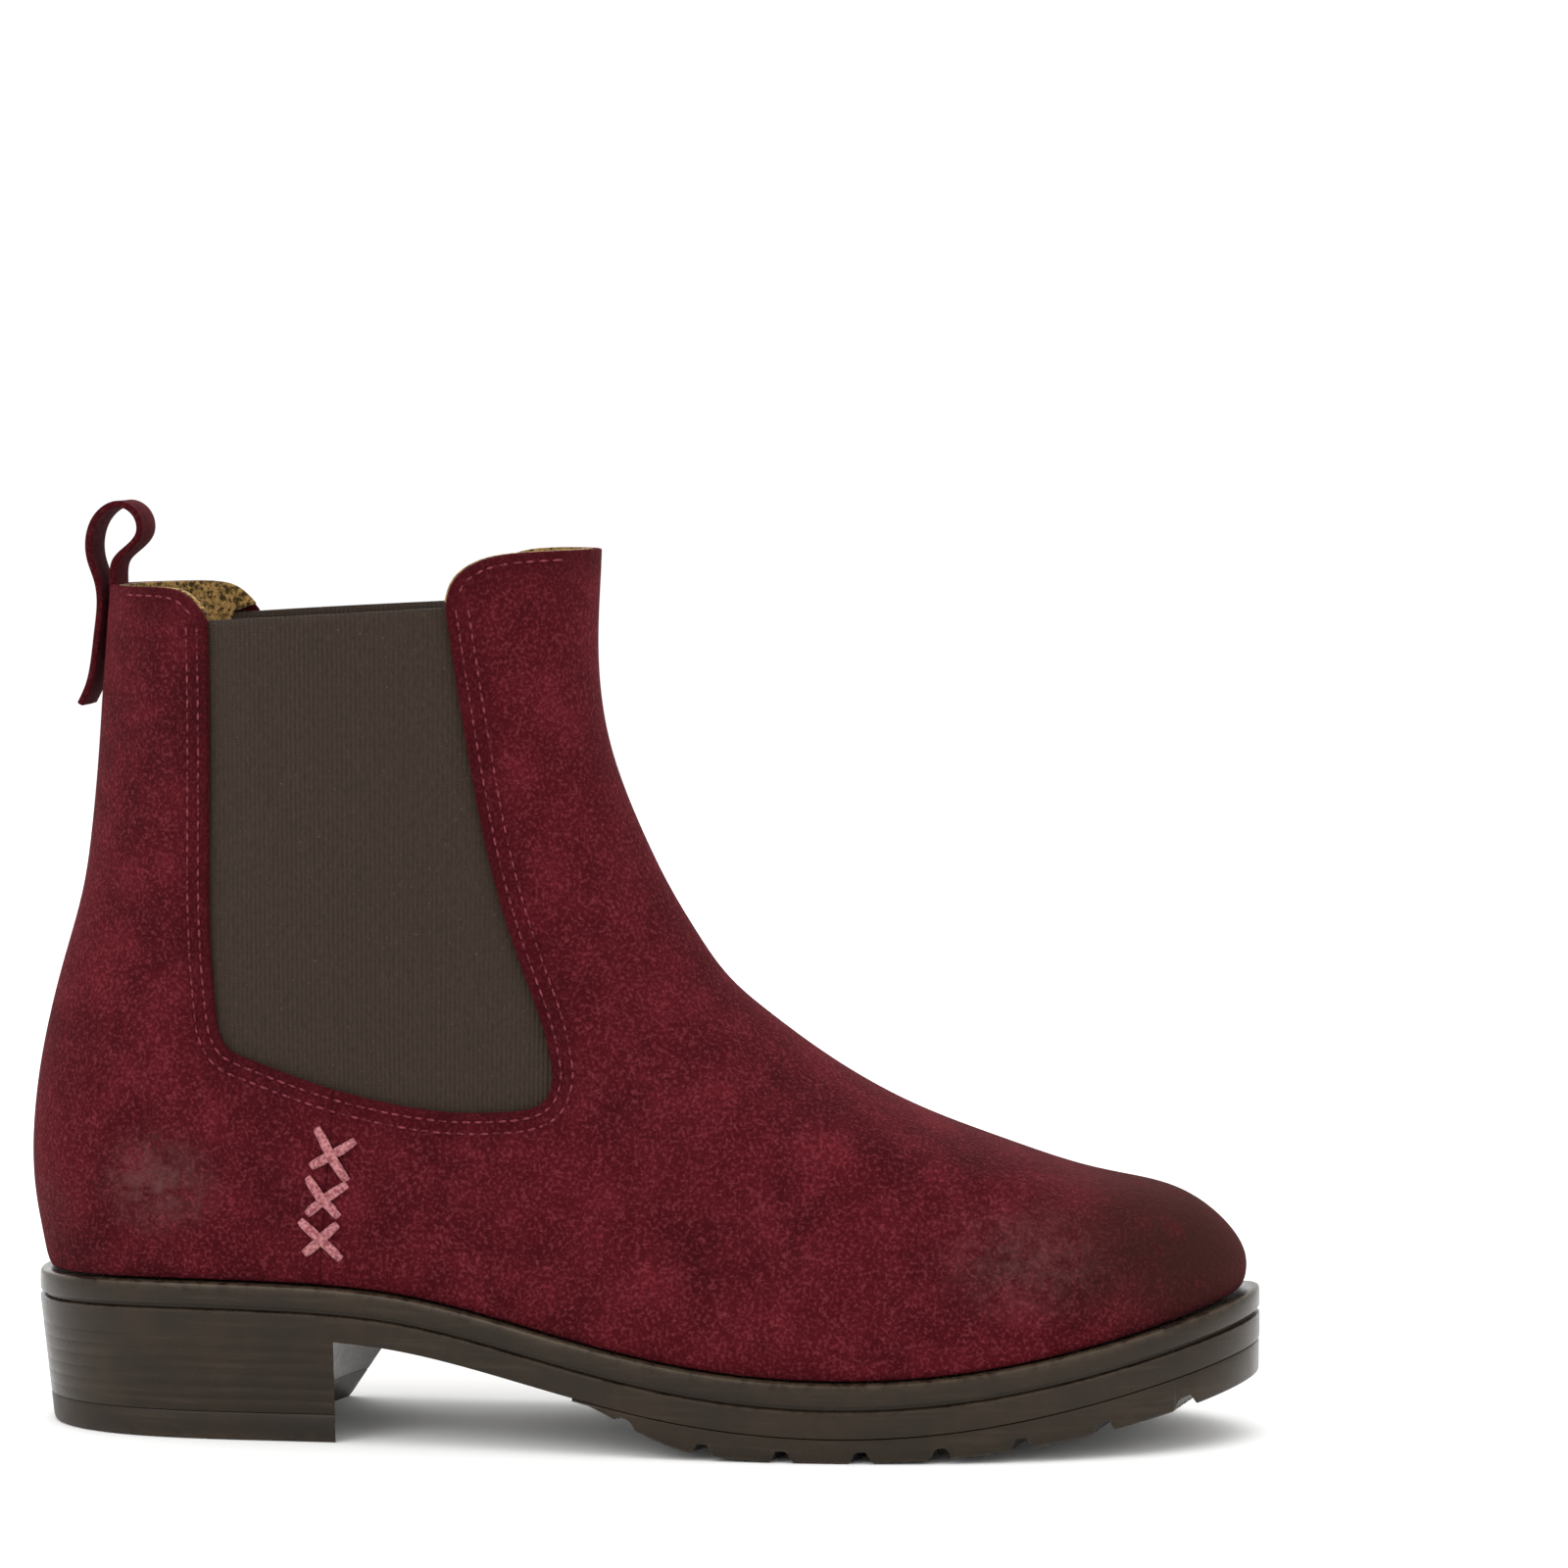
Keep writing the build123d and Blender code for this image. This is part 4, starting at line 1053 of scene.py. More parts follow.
# ---------------------------------------------------------------- the upper
@dataclass
class Upper:
    """Suede pieces, elastic gores and linings, all cut on one last.

    Growths are distances out of the last; angles run round it from the back seam.
    """

    last: Last
    suede: bpy.types.Material
    elastic: bpy.types.Material
    lining: bpy.types.Material
    suede_thickness: float = 1.75
    suede_edge: float = 0.4
    gore_growth: float = -1.95
    gore_thickness: float = 1.1
    gore_box: tuple[float, float, float] = (36.0, 131.0, 67.5)
    gore_grid: tuple[int, int] = (362, 60)
    rib: float = 1.05
    rib_height: float = 0.08
    selvedge: float = 1.2
    lining_growth: float = -2.05
    lining_thickness: float = 1.4
    lining_edge: float = 0.3
    lining_lift: float = 2.2
    crease_depth: float = 1.1
    crease_height: float = 1.6
    toe_box: float = 3.0
    instep_ease: float = 0.9
    wave_height: float = 0.16
    flex_height: float = 0.12
    calm_height: float = 191.0
    seam_gap: float = 0.003
    quarter_end: float = 2.2
    front_start: float = 1.0
    quarter_grid: tuple[int, int] = (110, 150)
    front_grid: tuple[int, int] = (280, 150)
    quarter_lining_grid: tuple[int, int] = (170, 128)
    front_lining_grid: tuple[int, int] = (190, 128)
    cell: float = 1.5
    bend_start: tuple[float, float, float] = (91.0, 0.0, 160.5)
    bend_reach: float = 40.0
    bend_slope: tuple[float, float, float] = (0.542, 0.0, 0.840)

    def build(self) -> None:
        """Build every ply of the upper."""
        for side in Side:
            self.quarter(side)
            self.gore(side)
        self.front()
        self.quarter_lining()
        self.front_lining()

    def bend_with_strip(self, piece: bpy.types.Object) -> None:
        """Bake a piece's place into its mesh; it rides on no body.

        Args:
            piece: a suede, elastic, lining or thread piece that spans the bend.
        """
        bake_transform(piece)

    def swell(self, around: np.ndarray, height: np.ndarray, skin: np.ndarray) -> np.ndarray:
        """How far worn suede stands off its last.

        Args:
            around: angles round the last.
            height: distances along it.
            skin: the last's own points there.

        Returns:
            Growths: a crease over the sole, soft waves all over, flex waves at the bend of the
            foot, a fuller toe box and an eased instep.
        """
        x, z = skin[:, 0], skin[:, 2]
        lift = z - height_along(FEATHER_LINE, x)
        crease = -self.crease_depth * np.exp(-np.maximum(lift, 0) / self.crease_height)
        wave = np.sin(x / 9.0 + 1.3 * np.sin(z / 17.0)) * np.sin(z / 13.0 + np.sin(around * 3))
        flex = self.mound(x, z, (150, 104), (26.0, 24.0)) * np.sin((z * 0.82 - x * 0.57) / 4.6)
        calm = np.clip((self.calm_height - z) / 12.0, 0, 1) * np.clip(lift / 6.0, 0, 1)
        box = self.toe_box * self.mound(x, z, (259, 53), (17.0, 12.0))
        ease = self.instep_ease * self.mound(x, z, (160, 106), (15.0, 14.0))
        return crease + (self.wave_height * wave + self.flex_height * flex) * calm + box - ease

    @staticmethod
    def mound(x: np.ndarray, z: np.ndarray, centre: tuple[float, float],
              size: tuple[float, float]) -> np.ndarray:
        """A smooth mound in side view.

        Args:
            x: places along the boot.
            z: their heights.
            centre: the mound's middle.
            size: its reach along the boot and upwards.

        Returns:
            Its height, which is 1 in the middle.
        """
        return np.exp(-((x - centre[0]) / size[0]) ** 2 - ((z - centre[1]) / size[1]) ** 2)

    def cut_suede(self, name: str, angles: tuple[float, float], grid: tuple[int, int],
                  outline: np.ndarray, top: Line) -> bpy.types.Object:
        """Cut one piece of suede, whose finish darkens at the gore and along its top.

        Args:
            name: the piece's name.
            angles: where its grid starts and ends round the last.
            grid: the grid's faces round the last and up it.
            outline: its edge in side view.
            top: its top edge in side view.

        Returns:
            The piece, which rides on no body yet.
        """
        cut = Cut(self.last, angles, *grid, self.swell, lambda p: inside_outline(p, outline), [outline],
                  self.cell, corners=(tuple(GORE_LINE[SEAM_INDEX]),))
        piece = finished_object(name, cut.mesh(), self.suede)
        add_edge_distance(piece, [GORE_LINE, smooth_run(top)])
        give_thickness(piece, self.suede_thickness, self.suede_edge)
        return piece

    def cut_lining(self, name: str, angles: tuple[float, float], grid: tuple[int, int],
                   outline: np.ndarray) -> bpy.types.Object:
        """Cut one piece of lining, which stops at the tucked elastic.

        Args:
            name: the piece's name.
            angles: where its grid starts and ends round the last.
            grid: the grid's faces round the last and up it.
            outline: its edge in side view.

        Returns:
            The piece, which rides on no body yet.
        """
        def keeps(points: np.ndarray) -> np.ndarray:
            """Inside the outline and clear of the elastic."""
            return inside_outline(points, outline) & ~inside_outline(points, TUCK_OUTLINE)

        def level(around: np.ndarray, height: np.ndarray, skin: np.ndarray) -> np.ndarray:
            """One growth all over."""
            return np.full(len(around), self.lining_growth)

        cut = Cut(self.last, angles, *grid, level, keeps, [outline, TUCK_OUTLINE], self.cell,
                  self.lining_lift)
        piece = finished_object(name, cut.mesh(), self.lining)
        give_thickness(piece, self.lining_thickness, self.lining_edge)
        return piece

    def quarter(self, side: Side) -> None:
        """Cut one back quarter, from the centre-back seam to the gore and the side seam."""
        angles = (self.seam_gap, self.quarter_end)
        if side is Side.MEDIAL:
            angles = (TURN - self.quarter_end, TURN - self.seam_gap)
        name = f"quarter_{side.name.lower()}"
        piece = self.cut_suede(f"{name}_suede", angles, self.quarter_grid, QUARTER_OUTLINE, QUARTER_TOP)
        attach(piece, ROOT_BODY)
        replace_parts(piece, name)

    def front(self) -> None:
        """Cut the one-piece front: the vamp with the strip that rises between the gores."""
        angles = (self.front_start, TURN - self.front_start)
        piece = self.cut_suede("front_suede", angles, self.front_grid, FRONT_OUTLINE, STRIP_TOP)
        self.bend_with_strip(piece)
        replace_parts(piece, "vamp", "shaft_front")

    def gore(self, side: Side) -> None:
        """Weave one elastic gore as a ribbed sheet, tucked under the suede on three sides."""
        low_x, high_x, low_z = self.gore_box
        bm = bmesh.new()
        bmesh.ops.create_grid(bm, x_segments=self.gore_grid[0], y_segments=self.gore_grid[1], size=0.5)
        flat = np.array([vertex.co for vertex in bm.verts])
        x = low_x + (flat[:, 0] + 0.5) * (high_x - low_x)
        top = np.interp(x, TUCK_OUTLINE[[0, -1], 0], TUCK_OUTLINE[[0, -1], 1])
        z = low_z + (flat[:, 1] + 0.5) * (top - low_z)
        places = np.c_[x, z]
        keep = inside_outline(places - [0, 0.05], TUCK_OUTLINE)
        around, height = self.last.from_side_view(places, side)
        rib = self.rib_height * np.sin(TURN * x / self.rib)
        rib *= np.clip((top - z) / self.selvedge, 0, 1)
        place_vertices(bm, self.last.at(around, height, self.gore_growth + rib))
        doomed = [vertex for vertex, kept in zip(bm.verts, keep) if not kept]
        bmesh.ops.delete(bm, geom=doomed, context="VERTS")
        turn_to_side(bm, side)
        piece = finished_object(f"gore_{side.name.lower()}_elastic", bm, self.elastic)
        give_thickness(piece, self.gore_thickness, 0.0)
        self.bend_with_strip(piece)
        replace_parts(piece, f"gore_{side.name.lower()}")

    def quarter_lining(self) -> None:
        """Cut the lining round the heel, in one piece from gore to gore."""
        piece = self.cut_lining("quarter_lining_cloth", (-self.quarter_end, self.quarter_end),
                                self.quarter_lining_grid, QUARTER_OUTLINE)
        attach(piece, ROOT_BODY)
        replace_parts(piece, "quarter_lining")

    def front_lining(self) -> None:
        """Cut the lining of the vamp and the front strip."""
        piece = self.cut_lining("front_lining_cloth", (self.front_start, TURN - self.front_start),
                                self.front_lining_grid, FRONT_OUTLINE)
        self.bend_with_strip(piece)
        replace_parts(piece, "vamp_lining", "shaft_front_lining")


# ---------------------------------------------------------------- trims on the upper
CROSS_STITCHES = (
    (((77.9, 68.3), (68.1, 62.3)), ((69.2, 71.0), (76.2, 59.6))),
    (((76.0, 58.6), (67.0, 51.8)), ((67.3, 60.0), (74.1, 51.2))),
    (((74.1, 49.4), (66.2, 42.8)), ((65.6, 50.3), (74.8, 41.8))),
)


@dataclass
class Stitching:
    """Machine stitching in matching thread, and the crossed hand stitches over the side seams."""

    last: Last
    upper: Upper
    thread: bpy.types.Material
    cord: bpy.types.Material
    pitch: float = 2.7
    stitch_length: float = 2.0
    thread_radius: float = 0.3
    thread_stand: float = 0.1
    rows: tuple[float, float] = (2.0, 4.6)
    end_samples: int = 3
    cross_width: float = 2.25
    cross_reach: float = 1.09
    cross_raise: float = 0.95
    cross_sink: float = 0.5
    cross_bridge: float = 0.62
    cord_thickness: float = 0.55
    cord_wobble: float = 0.16
    cord_twist: float = 0.1
    cord_pinch: float = 0.35

    def build(self) -> None:
        """Sew both sides."""
        for side in Side:
            self.gore_rows(side)
            self.crosses(side)

    def gore_rows(self, side: Side) -> None:
        """Two rows of stitches round the gore, and one along the tops of the suede."""
        bm = bmesh.new()
        quarter_top = np.concatenate([straight_run(COLLAR_BACK), smooth_run(QUARTER_TOP)])
        lines = [moved_aside(GORE_LINE, -offset) for offset in self.rows]
        lines.append(moved_aside(quarter_top, -self.rows[0])[:-self.end_samples])
        lines.append(moved_aside(smooth_run(STRIP_TOP), -self.rows[0])[self.end_samples:])
        for line in lines:
            self.sew(bm, line, side)
        piece = finished_object(f"gore_stitching_{side.name.lower()}", bm, self.thread)
        self.upper.bend_with_strip(piece)

    def sew(self, bm: bmesh.types.BMesh, line: np.ndarray, side: Side) -> None:
        """Add stitches along a line, each a short rounded thread.

        Args:
            bm: the mesh that takes the stitches.
            line: samples of the line in side view.
            side: the side of the boot that is sewn.
        """
        last_start = distances_along(line)[-1] - self.stitch_length
        starts = np.arange(self.pitch / 2, last_start, self.pitch)
        places = points_along(line, np.r_[starts, starts + self.stitch_length])
        around, height = self.last.from_side_view(places, side)
        skin = self.last.skin(around, height)
        growth = self.upper.swell(around, height, skin) + self.thread_stand
        points = to_frame(self.last.at(around, height, growth))
        for first, second in zip(points[:len(starts)], points[len(starts):]):
            run = Vector(second) - Vector(first)
            turn = run.to_track_quat("Z", "Y").to_matrix().to_4x4()
            size = Matrix.Diagonal((self.thread_radius * MM, self.thread_radius * MM, run.length / 2, 1))
            middle = Matrix.Translation((Vector(first) + Vector(second)) / 2)
            bmesh.ops.create_uvsphere(bm, u_segments=6, v_segments=5, radius=1.0,
                                      matrix=middle @ turn @ size)

    def crosses(self, side: Side) -> None:
        """Lay the crossed cords down the side seam, the second of each pair over the first."""
        bm = bmesh.new()
        for order, pair in enumerate(CROSS_STITCHES):
            for over, (start, end) in enumerate(pair):
                self.lay_cord(bm, np.array([start, end]), side, over, order)
        turn_outwards(bm)
        piece = finished_object(f"cross_stitch_{side.name.lower()}_cord", bm, self.cord)
        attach(piece, ROOT_BODY)
        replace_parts(piece, f"cross_stitch_{side.name.lower()}")

    def lay_cord(self, bm: bmesh.types.BMesh, ends: np.ndarray, side: Side, over: int,
                 order: int) -> None:
        """Add one flat cord, domed across, which dips into the suede at both ends.

        Args:
            bm: the mesh that takes the cord.
            ends: its two ends in side view.
            side: the side of the boot that it lies on.
            over: 1 where it crosses over another cord, 0 where it lies under.
            order: which cross it belongs to, so that no two cords twist alike.
        """
        middle = ends.mean(axis=0)
        start, end = middle + (ends - middle) * self.cross_reach
        strip = bmesh.new()
        bmesh.ops.create_grid(strip, x_segments=26, y_segments=8, size=0.5)
        flat = np.array([vertex.co for vertex in strip.verts])
        along, across = flat[:, 0] + 0.5, flat[:, 1] * 2
        run = (end - start) / np.linalg.norm(end - start)
        aside = np.array([-run[1], run[0]])
        pinch = 1 - self.cord_pinch * np.abs(2 * along - 1) ** 4
        wobble = self.cord_wobble * np.sin(along * 5 + order * 2.1 + over)
        places = start + (end - start) * along[:, None]
        places = places + aside * (across * pinch * self.cross_width / 2 + wobble)[:, None]
        around, height = self.last.from_side_view(places, side)
        dome = np.sqrt(np.maximum(0, 1 - (across * 0.96) ** 2))
        dip = np.clip(np.minimum(along, 1 - along) / 0.1, 0, 1)
        bridge = self.cross_bridge * over * np.exp(-((along - 0.5) / 0.17) ** 2)
        twist = self.cord_twist * np.sin(along * 9 + across * 2.6 + order)
        raised = self.cross_raise * (0.4 + 0.6 * dome) + self.cross_sink + twist
        place_vertices(strip, self.last.at(around, height, dip * raised - self.cross_sink + bridge))
        turn_to_side(strip, side)
        bmesh.ops.solidify(strip, geom=strip.faces[:], thickness=self.cord_thickness * MM)
        mesh = bpy.data.meshes.new("cord")
        strip.to_mesh(mesh)
        strip.free()
        bm.from_mesh(mesh)
        bpy.data.meshes.remove(mesh)


@dataclass
class PullLoop:
    """The suede pull strap: sewn down the back seam, looped over the collar."""

    material: bpy.types.Material
    width: float = 14.0
    thickness: float = 1.5
    edge: float = 0.35
    cup: float = 0.14
    flare: float = 0.05
    # The strap is drawn as if it all lay this close to a cut edge, so the suede's edge darkening makes it
    # darker all over: painted shade on the loop.
    shade_edge_distance: float = 2.5
    path: Line = (
        (10.0, 163.8), (12.1, 168.3), (13.3, 173.5), (14.2, 181.0), (14.7, 187.0), (14.1, 192.0),
        (12.5, 197.0), (12.4, 202.2), (15.0, 207.4), (19.4, 209.4), (23.1, 207.2), (23.9, 202.8),
        (21.0, 199.2), (18.3, 196.4), (17.7, 192.4), (17.7, 189.4))
    bend_x: float = 14.4
    bend_low: float = 191.0
    bend_high: float = 197.0

    def build(self) -> None:
        """Build the strap as one length of suede, laid along a path that loops over the collar."""
        bm = bmesh.new()
        bmesh.ops.create_grid(bm, x_segments=120, y_segments=12, size=0.5)
        flat = np.array([vertex.co for vertex in bm.verts])
        known = np.array(self.path, float)
        chords = distances_along(known)
        run = (flat[:, 0] + 0.5) * chords[-1]
        line = spline_weights(chords, run) @ known
        across = flat[:, 1]
        cup = self.cup * np.cos(TURN * across)
        width = self.width * (1 + self.flare * np.sin(run / 6.0))
        place_vertices(bm, np.c_[line[:, 0] + cup, across * width, line[:, 1]])
        bm.normal_update()
        piece = finished_object("pull_strap", bm, self.material)
        # Painted shade: one near-edge distance darkens the whole strap.
        store_edge_distance(piece, np.full(len(flat), self.shade_edge_distance))
        give_thickness(piece, self.thickness, self.edge, 0.0)
        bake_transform(piece)
        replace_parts(piece, "pull_loop", "pull_loop_tail")


# ---------------------------------------------------------------- the bottom
HeightOver = Callable[[np.ndarray, np.ndarray], np.ndarray]


@dataclass
class Level:
    """One ring of a moulded layer: how far it stands out, how high it is, and how much paler it is drawn,
    for rubbed rubber and, on the top edges, a painted highlight.
    """

    growth: float
    height: HeightOver
    wear_and_highlight: float = 0.0
    heel_draft: float = 0.0


def over_feather(offset: float) -> HeightOver:
    """Height that follows the top of the sole at an offset, in millimetres."""
    return lambda x, across: height_along(FEATHER_LINE, x) + offset


def level_at(height: float) -> HeightOver:
    """One height over the floor, in millimetres."""
    return lambda x, across: np.full(len(x), height)


def eased(share: np.ndarray) -> np.ndarray:
    """A share from 0 to 1 that starts and ends gently."""
    share = np.clip(share, 0, 1)
    return share ** 2 * (3 - 2 * share)


@dataclass
class Bottom:
    """Midsole, outsole, lugged tread and stacked heel, each moulded as its own layer.

    Heights in the profiles are offsets from the top of the sole, and growths are distances out
    of the last.
    """

    last: Last
    rubber: bpy.types.Material
    lift_rubber: bpy.types.Material
    overhang: float = 2.0
    length_steps: int = 190
    sharp_angle: float = 38.0
    toe_start_x: float = 225.0
    toe_reach: float = 2.8
    waist_length: float = 30.0
    tread_start: float = 128.0
    tread_blend: float = 30.0
    tread_end: float = 272.0
    tread_top: float = 12.3
    tread_steps: int = 330
    notch_first: float = 140.0
    notch_pitch: float = 17.5
    notch_width: float = 5.0
    notch_depth: float = 2.6
    notch_slope: float = 1.3
    notch_slant: float = 10.0
    notch_reach: float = 0.5
    middle_width: float = 4.0
    heel_length: float = 73.0
    heel_seat: float = 34.5
    heel_taper: float = 3.0
    heel_flare: float = 0.6
    heel_steps: int = 60
    breast_hollow: float = 8.0
    breast_lean: float = 0.65
    breast_sweep: float = 0.06
    breast_foot: float = 13.0
    lift_thickness: float = 6.5
    stack_height: float = 17.0
    stack_top: float = 12.05
    stack_lifts: int = 6
    stack_line: float = 0.06

    def __post_init__(self) -> None:
        """Find the angles where the heel, the waist and the toe end."""
        self.heel_stop = self.angle_at(self.heel_length)
        self.waist_end = self.angle_at(self.heel_length + self.waist_length)
        self.toe_start = self.angle_at(self.toe_start_x)

    def build(self) -> None:
        """Mould every layer of the bottom."""
        self.midsole()
        self.outsole()
        self.tread()
        self.heel()
        self.top_piece()

    def angle_at(self, x: float) -> float:
        """Angle round the last where the sole's lateral edge passes x."""
        angles = np.linspace(0, math.pi, 400)
        return float(np.interp(x, self.last.plan(angles, self.overhang)[:, 0], angles))

    def moulded(self, name: str, levels: list[Level], stops: np.ndarray, columns: int = 20,
                heel: bool = False) -> bpy.types.Object:
        """Mould a layer by raising its underside through its levels.

        Args:
            name: the piece's name.
            levels: its rings, from the underside up.
            stops: angles of its cross lines, from heel to toe.
            columns: faces across it.
            heel: whether it ends in the heel's hollow breast.

        Returns:
            The piece, which rides on the root body.
        """
        bm = bmesh.new()
        bmesh.ops.create_grid(bm, x_segments=len(stops) - 1, y_segments=columns, size=0.5)
        layers = [bm.verts.layers.float.new(kind) for kind in ("run", "across", "rim")]
        for vertex in bm.verts:
            vertex[layers[0]] = np.interp(vertex.co.x + 0.5, np.linspace(0, 1, len(stops)), stops)
            vertex[layers[1]] = vertex.co.y * 2
        self.set_level(bm.verts[:], levels[0], layers, heel)
        cap = bm.faces[:]
        for i, level in enumerate(levels[1:]):
            raised = bmesh.ops.extrude_face_region(bm, geom=cap, use_keep_orig=i == 0)["geom"]
            if i:
                bmesh.ops.delete(bm, geom=cap, context="FACES_ONLY")
            cap = [item for item in raised if isinstance(item, bmesh.types.BMFace)]
            tops = [item for item in raised if isinstance(item, bmesh.types.BMVert)]
            self.set_level(tops, level, layers, heel)
        bmesh.ops.remove_doubles(bm, verts=bm.verts[:], dist=2e-6)
        loose = [vertex for vertex in bm.verts if not vertex.link_faces]
        bmesh.ops.delete(bm, geom=loose, context="VERTS")
        bmesh.ops.recalc_face_normals(bm, faces=bm.faces[:])
        piece = finished_object(name, bm, self.rubber)
        piece.data.set_sharp_from_angle(angle=math.radians(self.sharp_angle))
        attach(piece, ROOT_BODY)
        return piece

    def set_level(self, vertices: list[bmesh.types.BMVert], level: Level, layers: list,
                  heel: bool) -> None:
        """Put a level's vertices at its outline and height.

        Args:
            vertices: the level's vertices.
            level: its outline, its height, and how much paler it is drawn.
            layers: the mesh layers that hold each vertex's angle, its place across, and how much paler it
                is drawn.
            heel: whether the layer ends in the heel's breast.
        """
        run = np.array([vertex[layers[0]] for vertex in vertices])
        across = np.array([vertex[layers[1]] for vertex in vertices])
        at_heel = (self.waist_end - run) / (self.waist_end - self.heel_stop)
        at_toe = (run - self.toe_start) / (math.pi - self.toe_start)
        growth = level.growth - level.heel_draft * eased(at_heel) + self.toe_reach * eased(at_toe)
        lateral = self.last.plan(run, growth)
        medial = self.last.plan(TURN - run, growth)
        plan = medial + (lateral - medial) * (across[:, None] + 1) / 2
        height = level.height(plan[:, 0], across)
        if heel:
            plan[:, 0] = self.with_breast(plan[:, 0], run, across, height, level.growth)
        for vertex, point in zip(vertices, to_frame(np.c_[plan, height])):
            vertex.co = point
            vertex[layers[2]] = level.wear_and_highlight

    def with_breast(self, x: np.ndarray, run: np.ndarray, across: np.ndarray, height: np.ndarray,
                    growth: float) -> np.ndarray:
        """Draw a heel level to the heel's length and shape its breast.

        Args:
            x: places along the boot before the breast is shaped.
            run: angles round the last.
            across: places across, -1 at the medial edge and 1 at the lateral one.
            height: heights over the floor.
            growth: how far the level stands out.

        Returns:
            The new places: hollow in the middle, and leaning forward at the medial corner.
        """
        end = float(self.last.plan(np.array([self.heel_stop]), growth)[0, 0])
        forward = np.clip(run / run.max(), 0, 1) ** 3
        over = height - self.breast_foot
        lean = over * self.breast_lean + np.maximum(over, 0) ** 2 * self.breast_sweep
        lean *= np.clip((0.4 - across) / 1.4, 0, 1)
        hollow = self.breast_hollow * (1 - across ** 2)
        return x * self.heel_length / end + (lean - hollow) * forward

    def midsole(self) -> None:
        """The band under the upper, with a rounded top edge drawn paler: partly rubbed rubber, partly a
        painted highlight.
        """
        # The last number of each ring is how much paler it is drawn: rubbing, and on the rounded top edge
        # a painted highlight.
        profile = ((1.2, -4.98, 0.0), (1.85, -4.9, 0.0), (2.02, -4.6, 0.0), (2.05, -2.4, 0.0),
                   (2.0, -1.0, 0.35), (1.75, -0.35, 1.0), (1.2, -0.03, 0.9), (-0.6, 0.0, 0.0))
        levels = [Level(growth, over_feather(offset), wear_and_highlight) for growth, offset, wear_and_highlight in profile]
        stops = np.linspace(0, math.pi, self.length_steps)
        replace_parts(self.moulded("midsole_band", levels, stops), "midsole")

    def outsole(self) -> None:
        """The full-length outsole under its recessed groove."""
        profile = ((1.95, -12.0, 0.0, 0.55), (2.05, -11.2, 0.0, 0.55), (2.1, -7.0, 0.0, 0.1),
                   (1.98, -6.25, 0.4, 0.0), (1.6, -5.95, 0.3, 0.0), (0.6, -5.85, 0.0, 0.0),
                   (0.5, -5.0, 0.0, 0.0))
        levels = [Level(growth, over_feather(offset), wear_and_highlight, draft)
                  for growth, offset, wear_and_highlight, draft in profile]
        stops = np.linspace(0, math.pi, self.length_steps)
        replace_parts(self.moulded("outsole_plate", levels, stops), "outsole")

    def tread_height(self, lift: float) -> HeightOver:
        """Underside of the tread: lugs at both edges, channels between, over the floor.

        Args:
            lift: the least height over the tread's line.

        Returns:
            The height at each place along and across.
        """
        def height(x: np.ndarray, across: np.ndarray) -> np.ndarray:
            """Height of the underside at each place."""
            base = height_along(TREAD_LINE, x)
            plate = height_along(FEATHER_LINE, x) - self.tread_top
            blend = np.clip((x - self.tread_start) / self.tread_blend, 0, 1)
            base = plate + (base - plate) * np.sin(blend * math.pi / 2) ** 1.2
            slanted = x - self.notch_slant * (1 - np.abs(across))
            beat = np.mod(slanted - self.notch_first + self.notch_width / 2, self.notch_pitch)
            shifted = np.mod(beat + self.notch_pitch / 2, self.notch_pitch)
            edge = self.channel(beat, self.notch_width) * (np.abs(across) > self.notch_reach)
            middle = self.channel(shifted, self.middle_width)
            middle *= np.abs(across) < self.notch_reach - 0.1
            in_field = (x > self.notch_first - 4) & (x < self.tread_end)
            raised = np.maximum(edge, middle) * in_field * self.notch_depth * blend ** 0.5
            return np.minimum(np.maximum(base, 0.0) + np.maximum(raised, lift), plate - 0.3)

        return height

    def channel(self, beat: np.ndarray, width: float) -> np.ndarray:
        """Depth share of a channel with sloped walls, at distances from its first wall."""
        return np.clip((width / 2 - np.abs(beat - width / 2)) / self.notch_slope, 0, 1)

    def tread(self) -> None:
        """The lugged forefoot layer."""
        levels = [Level(1.2, self.tread_height(0.0)), Level(1.75, self.tread_height(0.25), 0.4),
                  Level(1.92, self.tread_height(0.8)), Level(1.95, over_feather(-12.7)),
                  Level(1.85, over_feather(-self.tread_top)), Level(1.5, over_feather(-12.05))]
        stops = np.linspace(self.angle_at(self.tread_start), math.pi, self.tread_steps)
        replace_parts(self.moulded("forefoot_lugs", levels, stops, 44), "forefoot_tread")

    def drawn_in(self, height: float) -> float:
        """How far the heel's outline stands out at a height over the floor."""
        rise = (self.heel_taper + self.heel_flare) * height / self.heel_seat
        return self.overhang - self.heel_taper + rise

    def stack_level(self, share: float) -> HeightOver:
        """Height at a share of the heel stack, from its lift to the outsole."""
        base = self.lift_thickness
        return lambda x, across: base + share * (height_along(FEATHER_LINE, x) - self.stack_top - base)

    def heel(self) -> None:
        """The stacked heel, with a faint line between its lifts."""
        base = self.lift_thickness
        levels = [Level(self.drawn_in(base) - 0.35, level_at(base))]
        for k in range(self.stack_lifts):
            for share, inset in ((0.03, self.stack_line), (0.08, 0.0), (0.92, 0.0),
                                 (0.97, self.stack_line)):
                part = (k + share) / self.stack_lifts
                levels.append(Level(self.drawn_in(base + part * self.stack_height) - inset,
                                    self.stack_level(part)))
        levels.append(Level(self.drawn_in(base + self.stack_height) - 0.05, over_feather(-12.0)))
        stops = np.linspace(0, self.heel_stop, self.heel_steps)
        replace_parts(self.moulded("stacked_heel", levels, stops, 24, heel=True), "heel_block")

